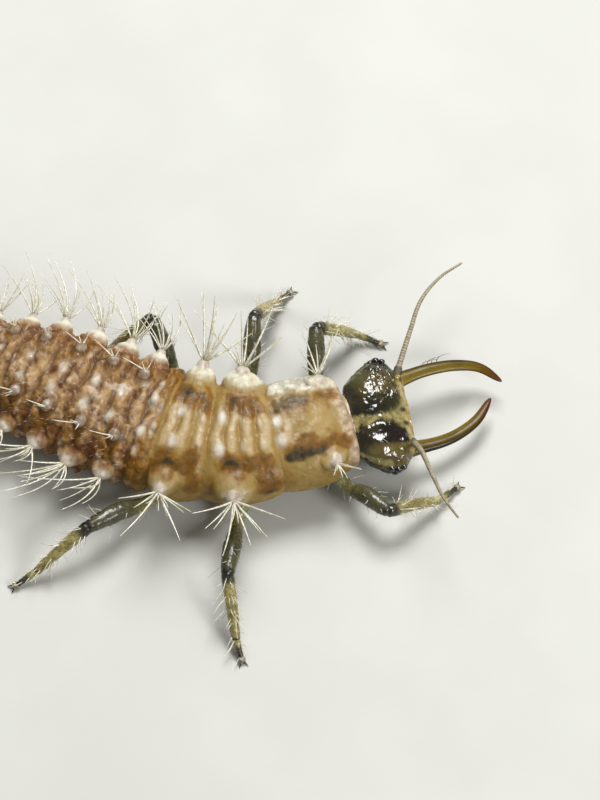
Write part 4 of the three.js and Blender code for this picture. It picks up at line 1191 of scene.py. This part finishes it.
LEG_FINISH = {
    **glow(0.4, (1.0, 0.8, 0.4), 0.06),
    "Transmission Weight": 0.2,
    "IOR": 1.45,
    "Coat Weight": 0.25,
    "Coat Roughness": 0.12,
}
leg_skin = new_material("leg_cuticle", LEG_FINISH, paint_leg)
leg_joints = {}
claw_roots, claw_aims = [], []
for name, stops in LEGS.items():
    root, hip, knee, ankle, toe = (np.array(stop, float) for stop in stops)
    inward = unit(root - hip)
    low_bend = hip + 0.22 * (knee - hip) - (0, 0, 0.05)
    high_bend = hip + 0.6 * (knee - hip) + (0, 0, 0.025)
    foot = np.array([toe[0], toe[1], PAD_HEIGHT * 0.6])
    onward, down_leg, to_foot = unit(knee - high_bend), unit(ankle - knee), unit(foot - ankle)
    shin_bend = (knee + ankle) / 2 + (0, 0, 0.025)
    femur = [hip + inward * 0.05, low_bend, high_bend, knee + onward * KNEE_LAP]
    tibia = [knee - down_leg * KNEE_LAP, shin_bend, ankle + down_leg * ANKLE_LAP]
    tarsus = [ankle - to_foot * ANKLE_LAP, (ankle + foot) / 2, foot]
    joints = [
        limb([root, hip - inward * 0.03], COXA_RADII, 40, 0),
        limb(femur, FEMUR_RADII, 120, 1, 0.1, 0.05),
        limb(tibia, TIBIA_RADII, 110, 2, 0.05, 0.04),
        limb(tarsus, TARSUS_RADII, 50, 3, 0.08, 0.1),
    ]
    flat = unit(to_foot * (1, 1, 0))
    beside = np.cross(UP, flat)
    for turned_out in (-0.55, 0.55):
        claw_aims.append(unit(flat * math.cos(turned_out) + beside * math.sin(turned_out) - (0, 0, 0.12)))
        claw_roots.append(foot + claw_aims[-1] * 0.02)
    leg_joints[name] = [rings for _, _, rings in joints]
    pad_at = np.linspace(0.02, np.pi - 0.02, 24)
    round_it = np.linspace(0, 2 * np.pi, 32, endpoint=False)
    profile = np.sin(pad_at) ** 0.7 * PAD_RADIUS
    levels = np.clip(PAD_HEIGHT * (0.5 + 0.56 * np.cos(pad_at)), 0.0008, PAD_HEIGHT)
    pad = np.stack(
        [
            toe[0] + profile[:, None] * np.cos(round_it),
            toe[1] + profile[:, None] * np.sin(round_it),
            levels[:, None] + 0 * round_it,
        ],
        axis=-1,
    )
    points, faces, patches = close(pad)
    masks = {"part": np.full(len(points), 4.0), "share": np.full(len(points), 0.5)}
    joints.append(((points, faces, patches * (0.007, 1) + (0.992, 0)), masks, pad))
    part, share = (np.concatenate([masks[kind] for _, masks, _ in joints]) for kind in ("part", "share"))
    in_femur = (part == 1) * (0.55 * step(share, 0.25, 0.6) + 0.45 * step(share, 0.88, 1.0))
    in_tibia = (part == 2) * (step(share, 0.3, 0.06) + 0.8 * step(share, 0.9, 0.98))
    in_tarsus = (part == 3) * (0.35 + 0.65 * step(share, 0.35, 0.95))
    masks = {
        "dark": in_femur + in_tibia + in_tarsus,
        "pale": (part == 2) * step(share, 0.08, 0.3) + (part == 3) * step(share, 0.6, 0.2),
        "base": (part == 0) + (part == 1) * step(share, 0.5, 0.2),
        "sole": (part == 4) * 1.0,
    }
    parts = [f"leg_{name}_{joint}" for joint in ("coxa", "femur", "tibia", "tarsus")]
    show(f"leg_{name}", joined([skin for skin, _, _ in joints]), leg_skin, parts, masks)

# The bristles: stiff, hollow, see-through white hairs in a fan from the top of each wart, up to three
# quarters of a millimetre long, straight on the thorax and bent towards the tail behind it.
# Half the thickness of a bristle at its root, and the share of that which is left behind the thorax.
BRISTLE_THICK = 0.0105
THINNER_BEHIND = 0.84
# The shortest and the longest of each kind.
THORAX_BRISTLE = (0.36, 0.76)
ABDOMEN_BRISTLE = (0.28, 0.62)
SHORT_BRISTLE = (0.12, 0.24)
BACK_BRISTLE = (0.08, 0.24)
# Each fan: which way its middle leans, in degrees towards the head, and how far it spreads to each side.
THORAX_FAN = (15, 50)
ABDOMEN_FAN = (-5, 42)
FAN_LIFTS = (-8, 30, 12)
# The bristles of a wart on the back: the degrees at which the first one leans, and those to the next.
BACK_LEAN, BACK_LEAN_STEP = -64, 34
# How far a bristle sweeps back over its length, and the share of that which is left on the last rings.
SLIGHT_SWEEP = (0.02, 0.14)
ABDOMEN_SWEEP = (0.2, 0.62)
TAIL_SWEEP = 0.3
FIRST_TAIL_RING = 9
# How wide a hair's patch of the bake map is, and the lowest that the middle of a hair lies.
PATCH = 0.003
ON_FLOOR = 0.012


def strands(roots, aims, lengths, thick, bends, spots, sides=6, steps=11):
    """Solid tapered hairs, joined, each with its own small patch of the bake map at spots."""
    count = len(roots)
    t = np.linspace(0, 1, steps)
    reach = np.asarray(lengths)[:, None, None] * t[None, :, None]
    middle = roots[:, None] + reach * aims[:, None] + reach * t[None, :, None] * bends[:, None]
    # A hair that reaches the floor lies along it.
    middle[..., 2] = np.maximum(middle[..., 2], ON_FLOOR)
    ahead = unit(np.gradient(middle, axis=1))
    beside = unit(np.cross(ahead, (0.23, 0.11, 0.97)))
    over = np.cross(ahead, beside)
    around = np.linspace(0, 2 * np.pi, sides, endpoint=False)[:, None]
    ring = np.cos(around) * beside[:, :, None] + np.sin(around) * over[:, :, None]
    half = np.asarray(thick)[:, None] * (1 - 0.72 * t**1.6)
    walls = middle[:, :, None] + half[..., None, None] * ring
    tips = middle[:, -1] + ahead[:, -1] * half[:, -1:] * 2.5
    points = np.concatenate([walls.reshape(count, -1, 3), tips[:, None]], axis=1)
    row, column = (grid.ravel() for grid in np.indices((steps - 1, sides)))
    after = (column + 1) % sides
    quads = np.stack([column, after, after + sides, column + sides], axis=1) + (row * sides)[:, None]
    last = (steps - 1) * sides
    rim = last + np.arange(sides)
    fan = np.stack([rim, np.roll(rim, -1), np.full(sides, last + sides)], axis=1)
    each = last + sides + 1
    faces = []
    for first in range(0, count * each, each):
        faces += (quads + first).tolist() + (fan + first).tolist()
        faces.append(list(range(first + sides - 1, first - 1, -1)))
    quad_map = np.stack([[column, column + 1, column + 1, column], [row, row, row + 1, row + 1]], axis=2)
    quad_map = quad_map.transpose(1, 0, 2).reshape(-1, 2) / (sides, steps)
    fan_map = np.array([[k, k + 1, k + 0.5] for k in range(sides)]).reshape(-1) / sides
    fan_rows = np.tile([(steps - 1) / steps, (steps - 1) / steps, 1.0], sides)
    root_map = np.stack([0.5 + 0.5 * np.cos(around[::-1, 0]), 0.02 + 0 * around[:, 0]], axis=1)
    one = np.vstack([quad_map, np.stack([fan_map, fan_rows], axis=1), root_map])
    patches = np.asarray(spots)[:, None] + PATCH * (one - 0.5)
    return points.reshape(-1, 3), faces, patches.reshape(-1, 2)


def nearest_on(skin, place):
    away = np.sum((skin - place) ** 2, axis=-1)
    return np.unravel_index(np.argmin(away), away.shape)


def map_spot(skin, row, column):
    """Where a point of a skin lies on its bake map."""
    return np.stack([0.02 + 0.96 * row / (skin.shape[0] - 1), column / skin.shape[1]], axis=-1)


def paint_bristle(start):
    place = millimetres(start)
    small = speckle(place, 0.05)
    return {
        "Base Color": small.tint("d9d2b4", "f7f4e8"),
        "Roughness": 0.18 + 0.2 * small.between(0.4, 0.7),
    }


BRISTLE_FINISH = {
    **glow(0.3, (1.0, 0.9, 0.7), 0.02),
    "Transmission Weight": 0.25,
    "Coat Weight": 0.6,
    "Coat Roughness": 0.1,
}
bristle_horn = new_material("clear_bristle", BRISTLE_FINISH, paint_bristle)
draw = np.random.default_rng(11)
side_fans, back_hairs = [], []
for index, side, foot, (forward, raised, out), half_sizes, bristles in warts:
    is_side = bristles > 4
    in_thorax = index < 3
    lean, half_spread = THORAX_FAN if in_thorax else ABDOMEN_FAN
    for i in range(bristles):
        fanned = lean + half_spread * (2 * (i + 0.5) / bristles - 1) + draw.uniform(-6, 6)
        spread = math.radians(fanned if is_side else BACK_LEAN + BACK_LEAN_STEP * i + draw.uniform(-20, 20))
        lift = math.radians(FAN_LIFTS[i % 3] + draw.uniform(-8, 8) if is_side else draw.uniform(-30, 25))
        lifted = raised * math.sin(lift) + out * math.cos(lift)
        aim = forward * math.sin(spread) + lifted * math.cos(spread)
        on_knob = 0.4 * half_sizes[1] * ((aim @ forward) * forward + (aim @ raised) * raised)
        row, column = nearest_on(body_skin, foot + on_knob + 1.1 * half_sizes[2] * out)
        root = body_skin[row, column] - aim * 0.012
        if is_side:
            shortest, longest = THORAX_BRISTLE if in_thorax else ABDOMEN_BRISTLE
            length = draw.uniform(shortest, longest) * (0.6 + 0.1 * side if index == 0 else 1.0)
            if draw.random() < 0.2:
                length = draw.uniform(*SHORT_BRISTLE)
        else:
            length = draw.uniform(0.17, BACK_BRISTLE[1]) if i == 0 else draw.uniform(BACK_BRISTLE[0], 0.13)
        sweep = draw.uniform(*(SLIGHT_SWEEP if in_thorax or not is_side else ABDOMEN_SWEEP))
        if is_side and index >= FIRST_TAIL_RING:
            sweep = sweep * TAIL_SWEEP
        bend = -forward * sweep + UP * draw.uniform(-0.02, 0.1)
        thick = BRISTLE_THICK * (0.8 + 0.4 * length / 0.7) * (1.0 if in_thorax else THINNER_BEHIND)
        chosen = side_fans if is_side else back_hairs
        chosen.append((root, aim, length, thick, bend, map_spot(body_skin, row, column)))

for name, hairs in (("wart_bristles", side_fans), ("back_bristles", back_hairs)):
    show(name, strands(*(np.array(values) for values in zip(*hairs))), bristle_horn)

# The fine hairs: very short ones scattered over the abdomen, short pale ones that lean towards the feet on
# the legs, a few on the head and some curled ones outside the left jaw. They are clear like the bristles.
# How many are drawn of each kind. Of those on the body, only the ones on top of the abdomen are kept.
BODY_HAIRS = 900
LEG_HAIRS = {"coxa": 5, "femur": 16, "tibia": 42, "tarsus": 8}
HEAD_HAIRS = 30
JAW_CURLS = 4
# The shortest and the longest of each kind.
BODY_HAIR = (0.025, 0.06)
LEG_HAIR = (0.07, 0.19)
HEAD_HAIR = (0.04, 0.1)
JAW_CURL = (0.09, 0.14)


def hair_roots(skin, rows, columns, lean_to, lean):
    """Roots a little under a skin's points, and aims that lean out of it towards another way."""
    here = skin[rows, columns]
    out = unit(here - skin[rows].mean(axis=1))
    aims = out * math.cos(lean) + lean_to * math.sin(lean) + draw.normal(0, 0.16, here.shape)
    return here - out * 0.004, unit(aims)


def fine_hairs(name, roots, aims, lengths, thick, curl, spots, steps=5):
    bends = draw.normal(0, curl, roots.shape)
    show(name, strands(roots, aims, lengths, thick, bends, spots, 4, steps), bristle_horn)


rows = draw.integers(int(0.44 * len(body_skin)), len(body_skin) - 12, BODY_HAIRS)
columns = draw.integers(0, SKIN_COLUMNS, BODY_HAIRS)
on_top = body_skin[rows, columns, 2] > body_skin[rows, :, 2].mean(axis=1) + 0.1
rows, columns = rows[on_top], columns[on_top]
headward = unit(body_skin[rows - 3, columns] - body_skin[rows + 3, columns])
roots, aims = hair_roots(body_skin, rows, columns, headward, -0.6)
lengths = draw.uniform(*BODY_HAIR, len(rows))
thick = draw.uniform(0.0014, 0.0022, len(rows))
fine_hairs("body_hairs", roots, aims, lengths, thick, 0.12, map_spot(body_skin, rows, columns))

gathered = []
for leg_index, joints in enumerate(leg_joints.values()):
    for part, count in enumerate(LEG_HAIRS.values()):
        skin = joints[part]
        rows = draw.integers(int(0.1 * len(skin)), int(0.94 * len(skin)), count)
        columns = draw.integers(0, LEG_COLUMNS, count)
        down_limb = unit(skin[rows + 2].mean(axis=1) - skin[rows - 2].mean(axis=1))
        roots, aims = hair_roots(skin, rows, columns, down_limb, 0.75)
        spot = map_spot(skin, rows, columns)
        spots = np.stack([spot[:, 0] * 0.24 + part * 0.25, (leg_index + spot[:, 1]) / 6], axis=1)
        gathered.append((roots, aims, draw.uniform(*LEG_HAIR, count), spots))
roots, aims, lengths, spots = (np.concatenate(values) for values in zip(*gathered))
fine_hairs("leg_hairs", roots, aims, lengths, 0.0035 + 0.012 * lengths, 0.12, spots, 7)

rows = draw.integers(int(0.25 * HEAD_ROWS), int(0.97 * HEAD_ROWS), HEAD_HAIRS)
columns = draw.integers(0, HEAD_COLUMNS, HEAD_HAIRS)
ahead = unit(head_skin[np.minimum(rows + 3, HEAD_ROWS - 1), columns] - head_skin[rows - 3, columns])
roots, aims = hair_roots(head_skin, rows, columns, ahead, 0.6)
lengths = draw.uniform(*HEAD_HAIR, HEAD_HAIRS)
spots = map_spot(head_skin, rows, columns)
fine_hairs("head_hairs", roots, aims, lengths, 0.002 + 0.008 * lengths, 0.1, spots, 7)

at = np.linspace(0.3, 0.42, JAW_CURLS)
_, jaw_left, jaw_over = jaw_lines["left"].axes(at)
out = unit(jaw_left + draw.uniform(-0.5, 0.6, (JAW_CURLS, 1)) * jaw_over)
roots = jaw_lines["left"].at(at) + jaw_left * 0.066
bends = draw.uniform(0.5, 1.6, (JAW_CURLS, 1)) * jaw_lines["left"].heading(at) - 0.6 * jaw_left
lengths = draw.uniform(*JAW_CURL, JAW_CURLS)
curls = strands(roots, out, lengths, [0.004] * JAW_CURLS, bends, np.stack([at, at], axis=1), 5, 12)
masks = {"tip": np.full(len(curls[0]), 0.5), "outer": np.full(len(curls[0]), 0.9)}
show("jaw_curls", curls, jaw_horn, masks=masks)

# The claws: two small curved hooks of dark horn on each foot, rooted in the end of its last joint in front
# of the pad and spread to both sides.
CLAW_LENGTH = 0.065
CLAW_THICK = 0.011
count = len(claw_roots)
points, faces, patches = strands(
    np.array(claw_roots),
    np.array(claw_aims),
    [CLAW_LENGTH] * count,
    [CLAW_THICK] * count,
    np.tile((0.0, 0.0, -0.35), (count, 1)),
    np.stack([np.full(count, 0.98), (np.arange(count) + 0.5) / count], axis=1),
    8,
    8,
)
points[:, 2] = np.maximum(points[:, 2], 0.001)


def paint_claw(start):
    small = speckle(millimetres(start), 0.02)
    return {"Base Color": small.tint("1b120a", "3a2614"), "Roughness": 0.2 + 0.2 * small}


claw_horn = new_material("claw_horn", {"Coat Weight": 0.3, "Coat Roughness": 0.15}, paint_claw)
show("claws", (points, faces, patches), claw_horn)

size = {"cad": [list(corner) for corner in cad_box], "visual": [list(corner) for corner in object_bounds()]}
